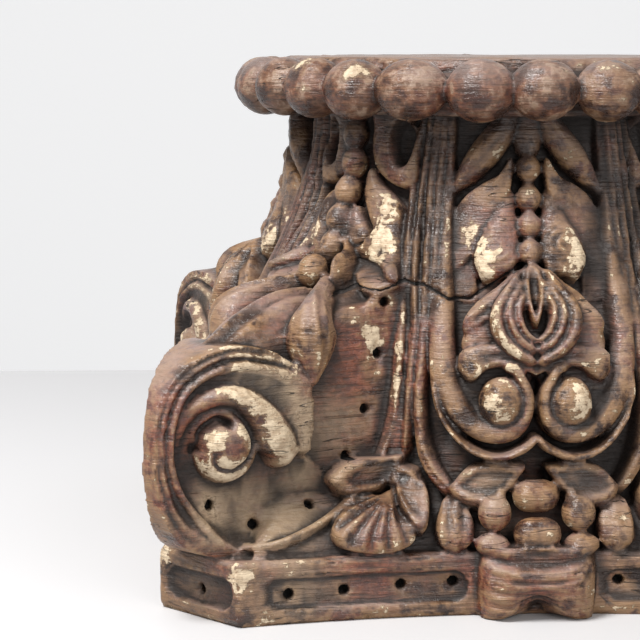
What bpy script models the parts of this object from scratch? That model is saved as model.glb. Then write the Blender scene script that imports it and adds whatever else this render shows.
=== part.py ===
"""Carved wooden Corinthian capital, standing upside down on its abacus.

Metres, +Z up. The origin is the middle of the underside of the abacus slab and
the front face looks along -Y. The capital is one block of carved timber, so it
is one object. One eighth of the ornament (from the middle of a face, 0 degrees,
to a corner, 45 degrees) is shaped by the functions below, repeated eight times
round the axis and united with the bell, the slab and the bead ring.
"""

import math

import bmesh
import bpy
import numpy as np

# ---------------------------------------------------------------- dimensions
HEIGHT = 0.280          # underside of the slab to the top of the neck disc
NECK_DISC_R = 0.1217    # flat disc inside the bead ring
NECK_DISC_TOP = 0.280
DISC_UNDER = 0.252      # where the disc's body starts, behind the beads
BEADS = 26
BEAD_RING_R = 0.1373
BEAD_R = 0.0161
BEAD_LONG = 0.0170      # half length of a bead along the ring
BEAD_Z = 0.2638
BEAD_START = -11.43     # degrees from the front, the bead left of the middle

SLAB_H = 0.0327
SLAB_MID = 0.1714       # middle of a hollow side, from the axis
SLAB_CORNER_X = 0.1508  # where the hollow side meets the cut corner
SLAB_CORNER_Y = 0.1916
PANEL_LOW, PANEL_HIGH = 0.0070, 0.0245
PANEL_DEEP = 0.0030

BOSS_HALF = 0.030       # leaf boss in the middle of each side
BOSS_OUT = 0.0170

TIP_R = 0.2735          # corner of the volutes, from the axis
TIP_HALF = 0.0060       # half width of the flat strip on the corner
FACE_SLOPE = 0.358      # how fast a volute face leaves the diagonal
EYE_S, EYE_Z = 0.040, 0.0885

# bell behind the ornament: height, radius
BELL_Z = [0.030, 0.045, 0.080, 0.115, 0.140, 0.160, 0.180, 0.200, 0.220, 0.240, 0.262]
BELL_R = [0.158, 0.153, 0.151, 0.148, 0.142, 0.133, 0.123, 0.1155, 0.111, 0.109, 0.109]
FLARE_LOW, FLARE_HIGH = 0.036, 0.066  # the scoop over the slab runs out between these
# reach of a horn along the diagonal: height, radius
HORN_Z = [0.033, 0.038, 0.043, 0.052, 0.062, 0.075, 0.089, 0.105, 0.118, 0.127,
          0.1315, 0.1345, 0.140, 0.148, 0.157, 0.165, 0.175, 0.190]
HORN_R = [0.205, 0.216, 0.238, 0.254, 0.262, 0.2690, 0.2705, 0.2690, 0.262, 0.251,
          0.240, 0.228, 0.211, 0.187, 0.160, 0.138, 0.112, 0.080]

ROOT = 0.0045           # how far the ornament reaches down into the body
VOXEL = 0.0021
TRIANGLES = 9300


# ------------------------------------------------------------------- helpers
def step(a, b, x):
    t = np.clip((x - a) / (b - a), 0.0, 1.0)
    return t * t * (3.0 - 2.0 * t)


def soft_max(a, b, k):
    h = np.clip(0.5 + 0.5 * (a - b) / k, 0.0, 1.0)
    return b + (a - b) * h + k * h * (1.0 - h)


def soft_min(a, b, k):
    return -soft_max(-a, -b, k)


def spline(points, count):
    """Even samples of a smooth curve through a few control points."""
    p = np.asarray(points, float)
    if len(p) == 2:
        p = np.stack([p[0], p.mean(0), p[1]])
    q = np.vstack([2 * p[0] - p[1], p, 2 * p[-1] - p[-2]])
    out = []
    for i in range(1, len(q) - 2):
        a, b, c, d = q[i - 1:i + 3]
        for t in np.linspace(0, 1, 12, endpoint=False):
            out.append(0.5 * (2 * b + (c - a) * t + (2 * a - 5 * b + 4 * c - d) * t * t
                              + (3 * b - a - 3 * c + d) * t ** 3))
    out.append(q[-2])
    out = np.array(out)
    at = np.linspace(0, len(out) - 1, count)
    return np.stack([np.interp(at, np.arange(len(out)), out[:, k]) for k in range(out.shape[1])], 1)


# ------------------------------------------------------------ ground surface
def slab_radius(p):
    s, c = np.sin(np.radians(p)), np.cos(np.radians(p))
    k = (SLAB_CORNER_Y - SLAB_MID) / SLAB_CORNER_X ** 2
    s2 = np.maximum(s * s, 1e-9)
    side = (c - np.sqrt(np.maximum(c * c - 4 * k * s2 * SLAB_MID, 0))) / (2 * k * s2)
    side = np.where(c * c - 4 * k * s2 * SLAB_MID <= 0, 1.0, side)
    cut = (SLAB_CORNER_X + SLAB_CORNER_Y) / 2 * math.sqrt(2) / np.cos(np.radians(45 - p))
    return np.minimum(side, cut)


def ground(p, z):
    """Radius of the body behind the ornament; p in degrees from the face middle."""
    d = np.radians(45 - p)
    face = 0.0943 / (np.sin(d) + FACE_SLOPE * np.cos(d))
    horn = soft_min(face, np.interp(z, HORN_Z, HORN_R) / np.cos(d), 0.004)
    r = soft_max(np.interp(z, BELL_Z, BELL_R), horn, 0.010)
    flare = step(FLARE_HIGH, FLARE_LOW, z) ** 1.3 * step(43.5, 37, p)
    return r + np.maximum(slab_radius(p) - 0.009 - r, 0) * flare


def on_ground(p, z, h=0.0):
    """Point h above the ground surface, and the surface's outward normal."""
    def at(pp, zz):
        r = ground(np.abs(pp), zz)
        a = np.radians(pp)
        return np.stack([-r * np.sin(a), -r * np.cos(a), zz + 0 * r], -1)
    p, z, h = np.broadcast_arrays(np.asarray(p, float), np.asarray(z, float), np.asarray(h, float))
    here = at(p, z)
    dp, dz = at(p + 1.5, z) - at(p - 1.5, z), at(p, z + 0.004) - at(p, z - 0.004)
    n = np.cross(dz, dp)
    n /= np.linalg.norm(n, axis=-1, keepdims=True)
    n[..., 2] = np.clip(n[..., 2], -0.2, 0.5)
    n /= np.linalg.norm(n, axis=-1, keepdims=True)
    return here + n * h[..., None], n


def slab_recess(p):
    """Depth of the sunk panels at angle p, for each height."""
    r = slab_radius(p)
    x, y = r * math.sin(math.radians(p)), r * math.cos(math.radians(p))
    if p < math.degrees(math.atan2(SLAB_CORNER_X, SLAB_CORNER_Y)):
        inside = min(SLAB_CORNER_X - 0.012 - x, x - BOSS_HALF - 0.004)
    else:
        inside = 0.0250 - abs(x - y) / math.sqrt(2)
    return inside


# ---------------------------------------------------------------- components
class Pile:
    """Collects the closed meshes that are united at the end."""

    def __init__(self):
        self.v, self.f, self.n = [], [], 0

    def add(self, v, f):
        self.v.append(np.asarray(v, float))
        self.f += [tuple(int(i) + self.n for i in face) for face in f]
        self.n += len(v)

    def octants(self, v, f, on_axis=False):
        """The shape in all eight places, or in four when it sits on a mirror line."""
        for k in range(4):
            c, s = math.cos(k * math.pi / 2), math.sin(k * math.pi / 2)
            turn = np.array([[c, -s, 0], [s, c, 0], [0, 0, 1]])
            self.add(v @ turn.T, f)
            if not on_axis:
                w = v.copy()
                w[:, 0] *= -1
                self.add(w @ turn.T, [face[::-1] for face in f])


def loft(rings):
    """Closed skin over a row of equal rings of points."""
    n, m = len(rings), len(rings[0])
    v = np.concatenate(rings + [rings[0].mean(0)[None], rings[-1].mean(0)[None]])
    f = []
    for i in range(n - 1):
        for j in range(m):
            k = (j + 1) % m
            f.append((i * m + j, i * m + k, (i + 1) * m + k, (i + 1) * m + j))
    for j in range(m):
        k = (j + 1) % m
        f.append((n * m, k, j))
        f.append((n * m + 1, (n - 1) * m + j, (n - 1) * m + k))
    return v, f


def blade(path, section=None, count=26, around=20, taper=0.12):
    """Reed or leaf lying on the ground. Path rows: degrees, height, lift, half width,
    thickness (the last four in mm). section(u, t) gives the crown's relief, 0..1."""
    rows = spline(path, count)
    pts, nor = on_ground(rows[:, 0], rows[:, 1] * 1e-3, rows[:, 2] * 1e-3)
    return skin(pts, nor, rows[:, 3] * 1e-3, rows[:, 4] * 1e-3, rows[:, 2] * 1e-3 + ROOT, section, around, taper)


def skin(pts, nor, half, thick, root, section, around, taper):
    count = len(pts)
    tan = np.gradient(pts, axis=0)
    tan /= np.linalg.norm(tan, axis=1, keepdims=True) + 1e-12
    side = np.cross(nor, tan)
    side /= np.linalg.norm(side, axis=1, keepdims=True) + 1e-12
    up = np.cross(tan, side)
    a = np.linspace(0, 2 * math.pi, around, endpoint=False)
    rings = []
    for i in range(count):
        t = i / (count - 1)
        end = math.sqrt(max(0.02, min(1.0, t / taper if taper else 1, (1 - t) / taper if taper else 1)))
        u = np.cos(a)
        top = np.sin(a)
        if section is not None:
            top = np.where(top > 0, top * section(u, t), top)
        lift = np.where(top > 0, top * thick[i] * end, np.sign(top) * np.abs(top) ** 0.5 * max(root[i], thick[i] * end))
        rings.append(pts[i] + side[i] * (u * half[i] * end)[:, None] + up[i] * lift[:, None])
    # the side axis points the other way on the mirrored half, so face order is set here
    return loft(rings)


def ball(centre, radii, normal, tangent=(0, 0, 1), rings=10, around=16):
    n = np.asarray(normal, float) / np.linalg.norm(normal)
    t = np.asarray(tangent, float) - n * np.dot(tangent, n)
    t /= np.linalg.norm(t)
    b = np.cross(n, t)
    bm = bmesh.new()
    bmesh.ops.create_uvsphere(bm, u_segments=around, v_segments=rings, radius=1.0)
    v = np.array([w.co[:] for w in bm.verts])
    f = [tuple(w.index for w in face.verts) for face in bm.faces]
    bm.free()
    return np.asarray(centre) + v[:, :1] * radii[0] * b + v[:, 1:2] * radii[1] * t + v[:, 2:] * radii[2] * n, f


# ------------------------------------------------------------ the whole body
def body_mesh(pile):
    """Slab and bell as one polar skin from the underside to the neck."""
    zs = np.concatenate([[0, 0.0015, 0.004], np.arange(0.006, 0.0262, 0.0018),
                         [0.0285, 0.0310, SLAB_H, SLAB_H + 0.0003], np.arange(0.035, 0.262, 0.003)])
    ps = np.arange(0, 360, 0.75)
    folded = np.abs((ps + 45) % 90 - 45)
    inside = np.array([slab_recess(p) for p in folded])
    rim = slab_radius(folded)
    rings = []
    for z in zs:
        if z <= SLAB_H:
            across = min(z - PANEL_LOW, PANEL_HIGH - z)
            if across > 0:
                corner = 0.0075
                dx, dz = np.maximum(corner - inside, 0), max(corner - across, 0)
                depth = corner - np.hypot(dx, dz)
                depth = np.where(inside <= 0, -1, depth)
            else:
                depth = np.full(len(ps), -1.0)
            r = rim - PANEL_DEEP * step(0.0, 0.0015, depth)
            r = r - 0.0022 * (1 - step(0, 0.004, z)) - 0.0016 * step(SLAB_H - 0.003, SLAB_H, z)
        else:
            r = ground(folded, z)
            r = np.minimum(r, rim - 0.003) if z < 0.036 else r
        a = np.radians(ps)
        rings.append(np.stack([r * np.sin(a), -r * np.cos(a), np.full(len(a), z)], 1))
    pile.add(*loft(rings))


def ring_and_disc(pile):
    bm = bmesh.new()
    bmesh.ops.create_cone(bm, cap_ends=True, segments=96, radius1=NECK_DISC_R + 0.004,
                          radius2=NECK_DISC_R, depth=NECK_DISC_TOP - DISC_UNDER)
    v = np.array([w.co[:] for w in bm.verts])
    v[:, 2] += (NECK_DISC_TOP + DISC_UNDER) / 2
    f = [tuple(w.index for w in face.verts) for face in bm.faces]
    bm.free()
    pile.add(v, f)
    for i in range(BEADS):
        a = math.radians(BEAD_START + i * 360 / BEADS)
        out = np.array([math.sin(a), -math.cos(a), 0])
        pile.add(*ball(out * BEAD_RING_R + [0, 0, BEAD_Z], (BEAD_LONG, BEAD_R, BEAD_R), out, rings=12, around=20))


def boss(pile):
    """Leaf boss in the middle of a slab side, with level curved ribs."""
    rings = []
    for z in np.linspace(-0.001, 0.044, 19):
        reach = BOSS_OUT * math.sqrt(max(0.0, 1 - ((z - 0.020) / 0.030) ** 2))
        reach *= 1 + 0.05 * math.cos(2 * math.pi * z / 0.0085)
        half = BOSS_HALF * math.sqrt(max(0.05, 1 - ((z - 0.016) / 0.034) ** 4))
        u = np.linspace(-1, 1, 19)
        front = np.stack([u * half, -(SLAB_MID + reach * (1 - u * u) ** 0.6), np.full(19, z)], 1)
        back = np.stack([u[::-1] * half, np.full(19, -(SLAB_MID - 0.02)), np.full(19, z)], 1)
        rings.append(np.concatenate([front, back]))
    v, f = loft(rings)
    v[:, 2] = np.maximum(v[:, 2], 0.0)
    pile.octants(v, f, on_axis=True)


def volute_height(q, psi):
    """Relief of a volute face in mm at q mm from the eye, psi degrees from level."""
    a = psi % 360
    out = rim_reach(a)
    wide = np.interp(a, [0, 40, 90, 135, 180, 225, 270, 315, 360], [4, 6, 10, 13, 14, 12, 8, 6, 4])
    turn = (315 - a) % 360
    channel = np.interp(turn, [0, 45, 135, 225, 300, 345, 360], [-11, -9, -7, -5, -3, -3, -11])
    edge = out - wide
    rim = -1.2 * np.abs(np.sin(math.pi * (q - edge) / np.maximum(wide, 1) * 2))
    h = channel + (rim - channel) * step(-1.6, 1.0, q - edge)
    # curled band round the eye, widening to its free tip
    crest = np.interp(a, [0, 45, 90, 150, 200, 340, 350, 360], [21, 24, 26, 20, 16, 31, 26, 21])
    wid = np.interp(a, [0, 45, 90, 150, 190, 335, 345, 360], [7.5, 6.5, 5.5, 3.5, 0.5, 0.5, 5.0, 7.5])
    k = np.clip(1 - ((q - crest) / wid) ** 2, 0, 1)
    h = np.where(k > 0, np.maximum(h, h + (5.0 - h) * np.sqrt(k)), h)
    # ball of the eye with its spiral groove
    kk = np.clip(1 - (q / 17.0) ** 2, 0, 1)
    dome = -5 + 13.0 * np.sqrt(kk)
    spiral = 3.2 + 11.0 * (((a + 60) % 360) / 360.0)
    dome = dome - 2.6 * np.exp(-((q - spiral) / 1.5) ** 2) * (q > 2.5)
    return np.where(kk > 0, np.maximum(h, dome), h)


def rim_reach(a):
    return np.interp(a % 360, [0, 18, 38, 60, 90, 135, 180, 225, 270, 300, 318, 345, 360],
                     [40, 45, 53, 53, 51, 47, 40, 47, 51, 48, 44, 38, 40])


def volute(pile):
    """One volute: a relief disc on the slanted face, standing out of the horn."""
    slant = math.hypot(1, FACE_SLOPE)
    ca, sa = 1 / slant, FACE_SLOPE / slant
    u, e = np.array([-1, -1]) / math.sqrt(2), np.array([1, -1]) / math.sqrt(2)
    start = TIP_R * u + TIP_HALF * e
    along = -ca * u + sa * e
    out = np.array([along[1], -along[0]])
    psi = np.arange(0, 360, 5.0)
    front = []
    for t in np.linspace(0.02, 1.0, 30):
        q = rim_reach(psi) * t
        front.append((q, volute_height(q, psi)))
    rings = []
    for q, h in front:
        s = EYE_S + q * 1e-3 * np.cos(np.radians(psi))
        z = EYE_Z + q * 1e-3 * np.sin(np.radians(psi))
        xy = start + s[:, None] * along + (h * 1e-3)[:, None] * out
        rings.append(np.column_stack([xy, z]))
    # the rim's outside runs square to the diagonal until the two faces meet
    last = rings[-1]
    off = (last[:, :2] @ e)
    for part in (0.5, 1.0):
        down = last.copy()
        down[:, :2] -= e * np.maximum(off * part + 0.001 * part, 0.0)[:, None]
        rings.append(down)
    v, f = loft(rings)
    pile.octants(v, f)


def ornament(pile):
    def furrows(k, depth, rib=0.0):
        return lambda u, t: 1 - depth * (0.5 + 0.5 * np.cos(k * math.pi * u)) + rib * np.exp(-(u / 0.16) ** 2)

    def keel(u, t):
        return 1.15 - 0.55 * np.abs(u)

    # reeds of the stem bundle, the outer one running on into the volute's border
    pile.octants(*blade([(25.0, 256, 1, 2.6, 4), (26.2, 212, 2, 2.8, 5), (27.0, 188, 2, 2.8, 5), (26.8, 165, 2, 3, 5),
                         (27.2, 130, 2, 3.2, 6), (27.8, 92, 2, 3.4, 6), (29.3, 74, 2, 3.4, 6), (31.8, 58, 2, 3.4, 6),
                         (34.2, 48, 2, 3.4, 6), (36.6, 43, 2, 3.4, 5), (39.2, 41, 2, 3.4, 5), (41.4, 41, 4, 3.2, 6)], count=44, around=12))
    pile.octants(*blade([(23.2, 256, 2, 3.2, 6), (23.8, 207, 3, 3.4, 7), (24.0, 177, 3, 3.4, 7), (23.9, 142, 3, 3.8, 7),
                         (23.6, 106, 3, 3.8, 7), (23.4, 76, 2, 3.0, 6)], count=30, around=12))
    pile.octants(*blade([(20.6, 256, 2, 3.2, 6), (20.8, 207, 3, 3.2, 7), (21.0, 177, 3, 3.4, 7), (20.7, 142, 3, 3.6, 7),
                         (20.6, 107, 3, 3.4, 7), (19.6, 87, 3, 3.0, 6), (16.2, 70, 3, 2.6, 6), (12.5, 63, 5, 2.4, 6)],
                        count=34, around=12))
    # broad stem turning into the small inner scroll
    pile.octants(*blade([(18.3, 256, 1, 2.6, 6), (18.4, 207, 2, 3.0, 6), (18.0, 182, 3, 3.6, 7), (17.2, 160, 4, 5.0, 8),
                         (17.2, 135, 5, 6.0, 9), (17.0, 107, 6, 5.5, 10), (15.6, 88, 7, 5.0, 10), (11.7, 76, 8, 4.8, 11),
                         (6.0, 73, 9, 4.6, 11), (0.0, 78, 10, 4.4, 11)], furrows(2, 0.25), count=44, around=16, taper=0.04))
    pile.octants(*blade([(14.0, 122, 6, 3.5, 8), (12.6, 130, 9, 4.5, 9), (9.0, 134, 11, 5.0, 9), (4.5, 131, 12, 5.0, 9),
                         (0.8, 122, 12, 5.0, 9), (-0.5, 108, 11, 4.5, 8)], count=24, around=14))
    eye, n = on_ground(7.0, 0.107, 0.012)
    pile.octants(*ball(eye, (0.0115, 0.0125, 0.013), n))
    swirl = []
    for i in range(9):
        w = math.radians(200 - i * 42)
        rad = 17.5 - i * 0.5
        swirl.append((7.0 - math.degrees(rad * 1e-3 * math.cos(w) / 0.165) * -1 * -1, 107 + rad * math.sin(w), 8 + 0.4 * i, 2.8, 7))
    pile.octants(*blade(swirl[:6], count=26, around=12))

    # palmette over the scrolls: nested furrows hanging from the middle
    for i, (wide, low) in enumerate(((12.6, 137), (9.8, 140), (7.0, 144), (4.2, 149), (1.6, 154))):
        pile.octants(*blade([(1.2, 174, 8 + i, 1.6, 5), (wide * 0.55, 168 - i, 11 + i, 3.2, 8), (wide * 0.9, 158 - i, 13 + i, 3.8, 9),
                             (wide, low + 9, 13 + i, 4.0, 9), (wide * 0.82, low, 13 + i, 3.4, 9),
                             (wide * 0.45, low - 5, 13 + i, 2.6, 8)], count=22, around=12))

    # leaves either side of the bundle, below the bead ring
    pile.octants(*blade([(33.0, 254, 2, 3.0, 5), (35.6, 240, 4, 4.2, 7), (35.4, 224, 6, 4.6, 8), (32.0, 214, 7, 4.2, 7),
                         (28.6, 215, 5, 2.4, 4)], keel, count=24))
    pile.octants(*blade([(30.0, 252, 1, 5.0, 5), (30.5, 235, 2, 6.0, 6), (30.0, 220, 2, 4.0, 5)], keel, count=14))
    pile.octants(*blade([(37.6, 220, 3, 1.4, 5), (36.0, 206, 5, 4.0, 7), (33.6, 193, 6, 6.2, 9), (31.0, 183, 7, 7.0, 10),
                         (28.8, 174, 7, 5.0, 8), (27.0, 168, 4, 2.0, 5)], keel, count=24))
    pile.octants(*blade([(41.0, 200, 3, 2.0, 5), (40.6, 186, 5, 4.2, 7), (38.5, 172, 7, 5.0, 8), (36.0, 162, 6, 3.0, 6)], keel, count=18))
    pile.octants(*blade([(4.2, 244, 2, 2.2, 5), (8.6, 226, 3, 4.6, 7), (13.0, 208, 5, 6.6, 9), (15.4, 192, 6, 6.8, 10),
                         (16.0, 178, 7, 5.0, 9), (14.6, 167, 5, 2.0, 5)], keel, count=26))
    pile.octants(*blade([(4.6, 222, 3, 2.0, 5), (5.6, 207, 4, 5.6, 9), (6.6, 192, 6, 8.0, 11), (7.6, 179, 8, 7.6, 12),
                         (9.4, 168, 7, 4.6, 9)], furrows(3, 0.10), count=24))

    # strings of berries on the corner and in the middle of the face
    for z in (241, 226, 211, 196, 182, 169):
        c, n = on_ground(45.0, z * 1e-3, 0.0045)
        pile.octants(*ball(c, (0.0068, 0.0078, 0.0075), n), on_axis=True)
    for z in (242, 227, 211, 196, 182, 170, 159):
        c, n = on_ground(0.0, z * 1e-3, 0.0060)
        pile.octants(*ball(c, (0.0066, 0.0074, 0.0075), n), on_axis=True)

    # bud hanging between the string and the band
    pile.octants(*blade([(41.5, 168, 5, 4.5, 8), (38.2, 158, 8, 9.0, 12), (35.8, 145, 9, 11.5, 14), (34.6, 132, 8, 9.5, 13),
                         (34.0, 118, 4, 2.5, 6)], furrows(3, 0.16), count=24))
    # leaf with a midrib on the back of the horn
    rows = spline([(0.150, 0.160, 9), (0.170, 0.154, 13), (0.192, 0.147, 16), (0.212, 0.139, 14), (0.232, 0.133, 8)], 20)
    pts = np.stack([-rows[:, 0] / math.sqrt(2), -rows[:, 0] / math.sqrt(2), rows[:, 1]], 1)
    tan = np.gradient(pts, axis=0)
    nor = np.cross(tan, np.array([1, -1, 0]) / math.sqrt(2))
    nor *= np.sign(nor[:, 2:3])
    nor /= np.linalg.norm(nor, axis=1, keepdims=True)
    v, f = skin(pts, nor, rows[:, 2] * 1e-3, np.full(20, 0.0085), np.full(20, 0.022),
                lambda u, t: 0.8 - 0.35 * np.abs(u) + 0.35 * np.exp(-(u / 0.13) ** 2), 24, 0.15)
    pile.octants(v, f, on_axis=True)

    # flowers and leaves between the scrolls and the slab
    pile.octants(*blade([(34.0, 60, 3, 1.5, 4), (31.2, 66, 7, 6.0, 9), (28.4, 70, 8, 6.8, 10), (24.6, 75, 5, 2.0, 5)],
                        furrows(1, 0.10, 0.1), count=20))
    pile.octants(*blade([(22.4, 76, 4, 1.6, 5), (21.6, 64, 8, 6.4, 10), (21.2, 52, 8, 6.6, 10), (21.8, 40, 4, 2.2, 6)],
                        furrows(1, 0.10, 0.1), count=20))
    for i in range(6):
        w = math.radians(197 + i * 21)
        tip = (25.6 - math.degrees(0.024 * math.cos(w) / 0.172), 60 + 25 * math.sin(w) * 1.05)
        tip = (min(tip[0], 34.5), max(tip[1], 33))
        mid = ((25.6 + tip[0]) / 2, (60 + tip[1]) / 2)
        pile.octants(*blade([(25.6, 60, 6, 1.6, 5), (mid[0], mid[1], 10, 3.2, 9), (tip[0], tip[1], 7, 3.0, 8)], count=14, around=12))
    pile.octants(*blade([(13.6, 61, 6, 1.6, 5), (10.4, 65, 11, 6.2, 11), (6.6, 69, 12, 6.8, 12), (2.0, 76, 8, 2.2, 6)],
                        furrows(1, 0.10, 0.12), count=20))
    pile.octants(*blade([(14.6, 58, 4, 2.2, 5), (13.8, 48, 8, 6.4, 9), (13.2, 38, 7, 6.0, 9), (13.6, 30, 3, 2.0, 5)],
                        furrows(2, 0.12), count=18))
    for p, z in ((7.5, 50), (7.7, 37)):
        c, n = on_ground(p, z * 1e-3, 0.010)
        pile.octants(*ball(c, (0.0082, 0.0082, 0.0085), n))
    for z in (62, 44):
        c, n = on_ground(0.0, z * 1e-3, 0.012)
        pile.octants(*ball(c, (0.0085, 0.0088, 0.0085), n), on_axis=True)


# --------------------------------------------------------------------- build
def keep_largest(bm):
    """Drops any loose crumb that the union left."""
    left, best = set(bm.verts), []
    while left:
        seed = next(iter(left))
        seen, stack = {seed}, [seed]
        while stack:
            for edge in stack.pop().link_edges:
                for w in edge.verts:
                    if w not in seen:
                        seen.add(w)
                        stack.append(w)
        left -= seen
        if len(seen) > len(best):
            best = seen
    bmesh.ops.delete(bm, geom=[w for w in bm.verts if w not in best], context="VERTS")


def apply_modifiers(obj):
    graph = bpy.context.evaluated_depsgraph_get()
    mesh = bpy.data.meshes.new_from_object(obj.evaluated_get(graph))
    old = obj.data
    obj.modifiers.clear()
    obj.data = mesh
    bpy.data.meshes.remove(old)


def wood():
    mat = bpy.data.materials.new("worn_painted_wood")
    mat.use_nodes = True
    node = mat.node_tree.nodes["Principled BSDF"]
    node.inputs["Base Color"].default_value = (0.105, 0.062, 0.043, 1.0)
    node.inputs["Roughness"].default_value = 0.52
    node.inputs["Metallic"].default_value = 0.0
    return mat


def main():
    for obj in list(bpy.data.objects):
        bpy.data.objects.remove(obj, do_unlink=True)
    home = bpy.data.collections.new("corinthian_capital")
    bpy.context.scene.collection.children.link(home)

    pile = Pile()
    body_mesh(pile)
    ring_and_disc(pile)
    boss(pile)
    volute(pile)
    ornament(pile)

    mesh = bpy.data.meshes.new("capital")
    mesh.from_pydata(np.concatenate(pile.v).tolist(), [], pile.f)
    obj = bpy.data.objects.new("capital", mesh)
    home.objects.link(obj)

    union = obj.modifiers.new("union", "REMESH")
    union.mode = "VOXEL"
    union.voxel_size = VOXEL
    apply_modifiers(obj)

    bm = bmesh.new()
    bm.from_mesh(obj.data)
    keep_largest(bm)
    bm.to_mesh(obj.data)
    bm.free()

    thin = obj.modifiers.new("thin", "DECIMATE")
    thin.ratio = min(1.0, TRIANGLES / (2.0 * len(obj.data.polygons)))
    apply_modifiers(obj)

    # the two bearing faces are cut true and flat
    for level, keep_above in ((0.0012, True), (HEIGHT, False)):
        bm = bmesh.new()
        bm.from_mesh(obj.data)
        cut = level if keep_above else level - 0.0012
        res = bmesh.ops.bisect_plane(bm, geom=bm.verts[:] + bm.edges[:] + bm.faces[:], plane_co=(0, 0, cut),
                                     plane_no=(0, 0, -1 if keep_above else 1), clear_outer=True, dist=1e-6)
        edges = [g for g in res["geom_cut"] if isinstance(g, bmesh.types.BMEdge)]
        bmesh.ops.holes_fill(bm, edges=edges, sides=0)
        bmesh.ops.triangulate(bm, faces=bm.faces[:])
        bmesh.ops.recalc_face_normals(bm, faces=bm.faces[:])
        bm.to_mesh(obj.data)
        bm.free()
    v = np.empty(len(obj.data.vertices) * 3)
    obj.data.vertices.foreach_get("co", v)
    v = v.reshape(-1, 3)
    low, high = v[:, 2].min(), v[:, 2].max()
    v[:, 2] = (v[:, 2] - low) * HEIGHT / (high - low)
    obj.data.vertices.foreach_set("co", v.ravel())
    obj.data.update()
    obj.data.materials.append(wood())


main()
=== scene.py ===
"""Carved wooden Corinthian capital, stood upside down on its abacus: the looks.

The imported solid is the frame. The one piece here stands for it: the same block
with the finer carving, wear, cracks and paint. Metres, +Z up, front towards -Y.
"""
import math
import time

import bmesh
import bpy
import numpy as np
from mathutils import Matrix, Vector


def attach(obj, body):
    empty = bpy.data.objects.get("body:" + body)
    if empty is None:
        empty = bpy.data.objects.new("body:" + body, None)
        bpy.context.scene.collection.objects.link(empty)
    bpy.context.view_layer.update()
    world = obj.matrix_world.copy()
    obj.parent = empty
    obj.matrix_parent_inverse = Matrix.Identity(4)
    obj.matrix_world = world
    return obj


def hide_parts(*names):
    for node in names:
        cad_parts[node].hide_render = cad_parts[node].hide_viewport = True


T0 = time.time()
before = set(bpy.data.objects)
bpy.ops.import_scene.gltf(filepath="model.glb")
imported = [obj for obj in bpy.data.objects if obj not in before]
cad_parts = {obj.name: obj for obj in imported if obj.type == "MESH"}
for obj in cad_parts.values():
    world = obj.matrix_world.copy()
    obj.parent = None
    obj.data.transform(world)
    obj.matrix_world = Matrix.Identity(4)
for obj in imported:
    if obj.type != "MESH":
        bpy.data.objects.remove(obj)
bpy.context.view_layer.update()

# ---------------------------------------------------------------- dimensions
HEIGHT = 0.280
NECK_DISC_R = 0.1217
DISC_UNDER = 0.250
BEADS = 26
BEAD_RING_R = 0.1373
BEAD_R = 0.0161
BEAD_LONG = 0.0170
BEAD_Z = 0.2638
BEAD_START = -11.43

SLAB_H = 0.0327
SLAB_MID = 0.1714
SLAB_CORNER_X = 0.1508
SLAB_CORNER_Y = 0.1916
PANEL_LOW, PANEL_HIGH = 0.0070, 0.0245

BOSS_HALF = 0.030
BOSS_OUT = 0.0170

TIP_R = 0.2735
TIP_HALF = 0.0060
FACE_SLOPE = 0.358
EYE_S, EYE_Z = 0.040, 0.0885

BELL_Z = [0.030, 0.045, 0.080, 0.115, 0.140, 0.160, 0.180, 0.200, 0.220, 0.240, 0.262]
BELL_R = [0.158, 0.153, 0.151, 0.148, 0.142, 0.133, 0.123, 0.1155, 0.111, 0.109, 0.109]
FLARE_LOW, FLARE_HIGH = 0.036, 0.066
HORN_Z = [0.033, 0.038, 0.043, 0.052, 0.062, 0.075, 0.089, 0.105, 0.118, 0.127,
          0.1315, 0.1345, 0.140, 0.148, 0.157, 0.165, 0.175, 0.190]
HORN_R = [0.205, 0.216, 0.238, 0.254, 0.262, 0.2690, 0.2705, 0.2690, 0.262, 0.251,
          0.240, 0.228, 0.211, 0.187, 0.160, 0.138, 0.112, 0.080]

ROOT = 0.0055
VOXEL = 0.00112
TRIANGLES = 192000


# ------------------------------------------------------------------- helpers
def step(a, b, x):
    t = np.clip((x - a) / (b - a), 0.0, 1.0)
    return t * t * (3.0 - 2.0 * t)


def soft_max(a, b, k):
    h = np.clip(0.5 + 0.5 * (a - b) / k, 0.0, 1.0)
    return b + (a - b) * h + k * h * (1.0 - h)


def soft_min(a, b, k):
    return -soft_max(-a, -b, k)


def spline(points, count, closed=False):
    p = np.asarray(points, float)
    if closed:
        q = np.vstack([p[-1], p, p[0], p[1]])
    else:
        if len(p) == 2:
            p = np.stack([p[0], p.mean(0), p[1]])
        q = np.vstack([2 * p[0] - p[1], p, 2 * p[-1] - p[-2]])
    out = []
    for i in range(1, len(q) - 2):
        a, b, c, d = q[i - 1:i + 3]
        for t in np.linspace(0, 1, 12, endpoint=False):
            out.append(0.5 * (2 * b + (c - a) * t + (2 * a - 5 * b + 4 * c - d) * t * t
                              + (3 * b - a - 3 * c + d) * t ** 3))
    if not closed:
        out.append(q[-2])
    else:
        out.append(out[0])
    out = np.array(out)
    at = np.linspace(0, len(out) - 1, count + (1 if closed else 0))
    if closed:
        at = at[:-1]
    return np.stack([np.interp(at, np.arange(len(out)), out[:, k]) for k in range(out.shape[1])], 1)


def hash3(i, j, k, seed):
    n = (i.astype(np.int64) * 374761393 + j.astype(np.int64) * 668265263 + k.astype(np.int64) * 2147483647
         + seed * 974711) & 0xFFFFFFFF
    n = ((n ^ (n >> 13)) * 1274126177) & 0xFFFFFFFF
    n = ((n ^ (n >> 16)) * 2246822519) & 0xFFFFFFFF
    return ((n ^ (n >> 15)) & 0xFFFFFF) / float(0xFFFFFF) * 2.0 - 1.0


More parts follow.
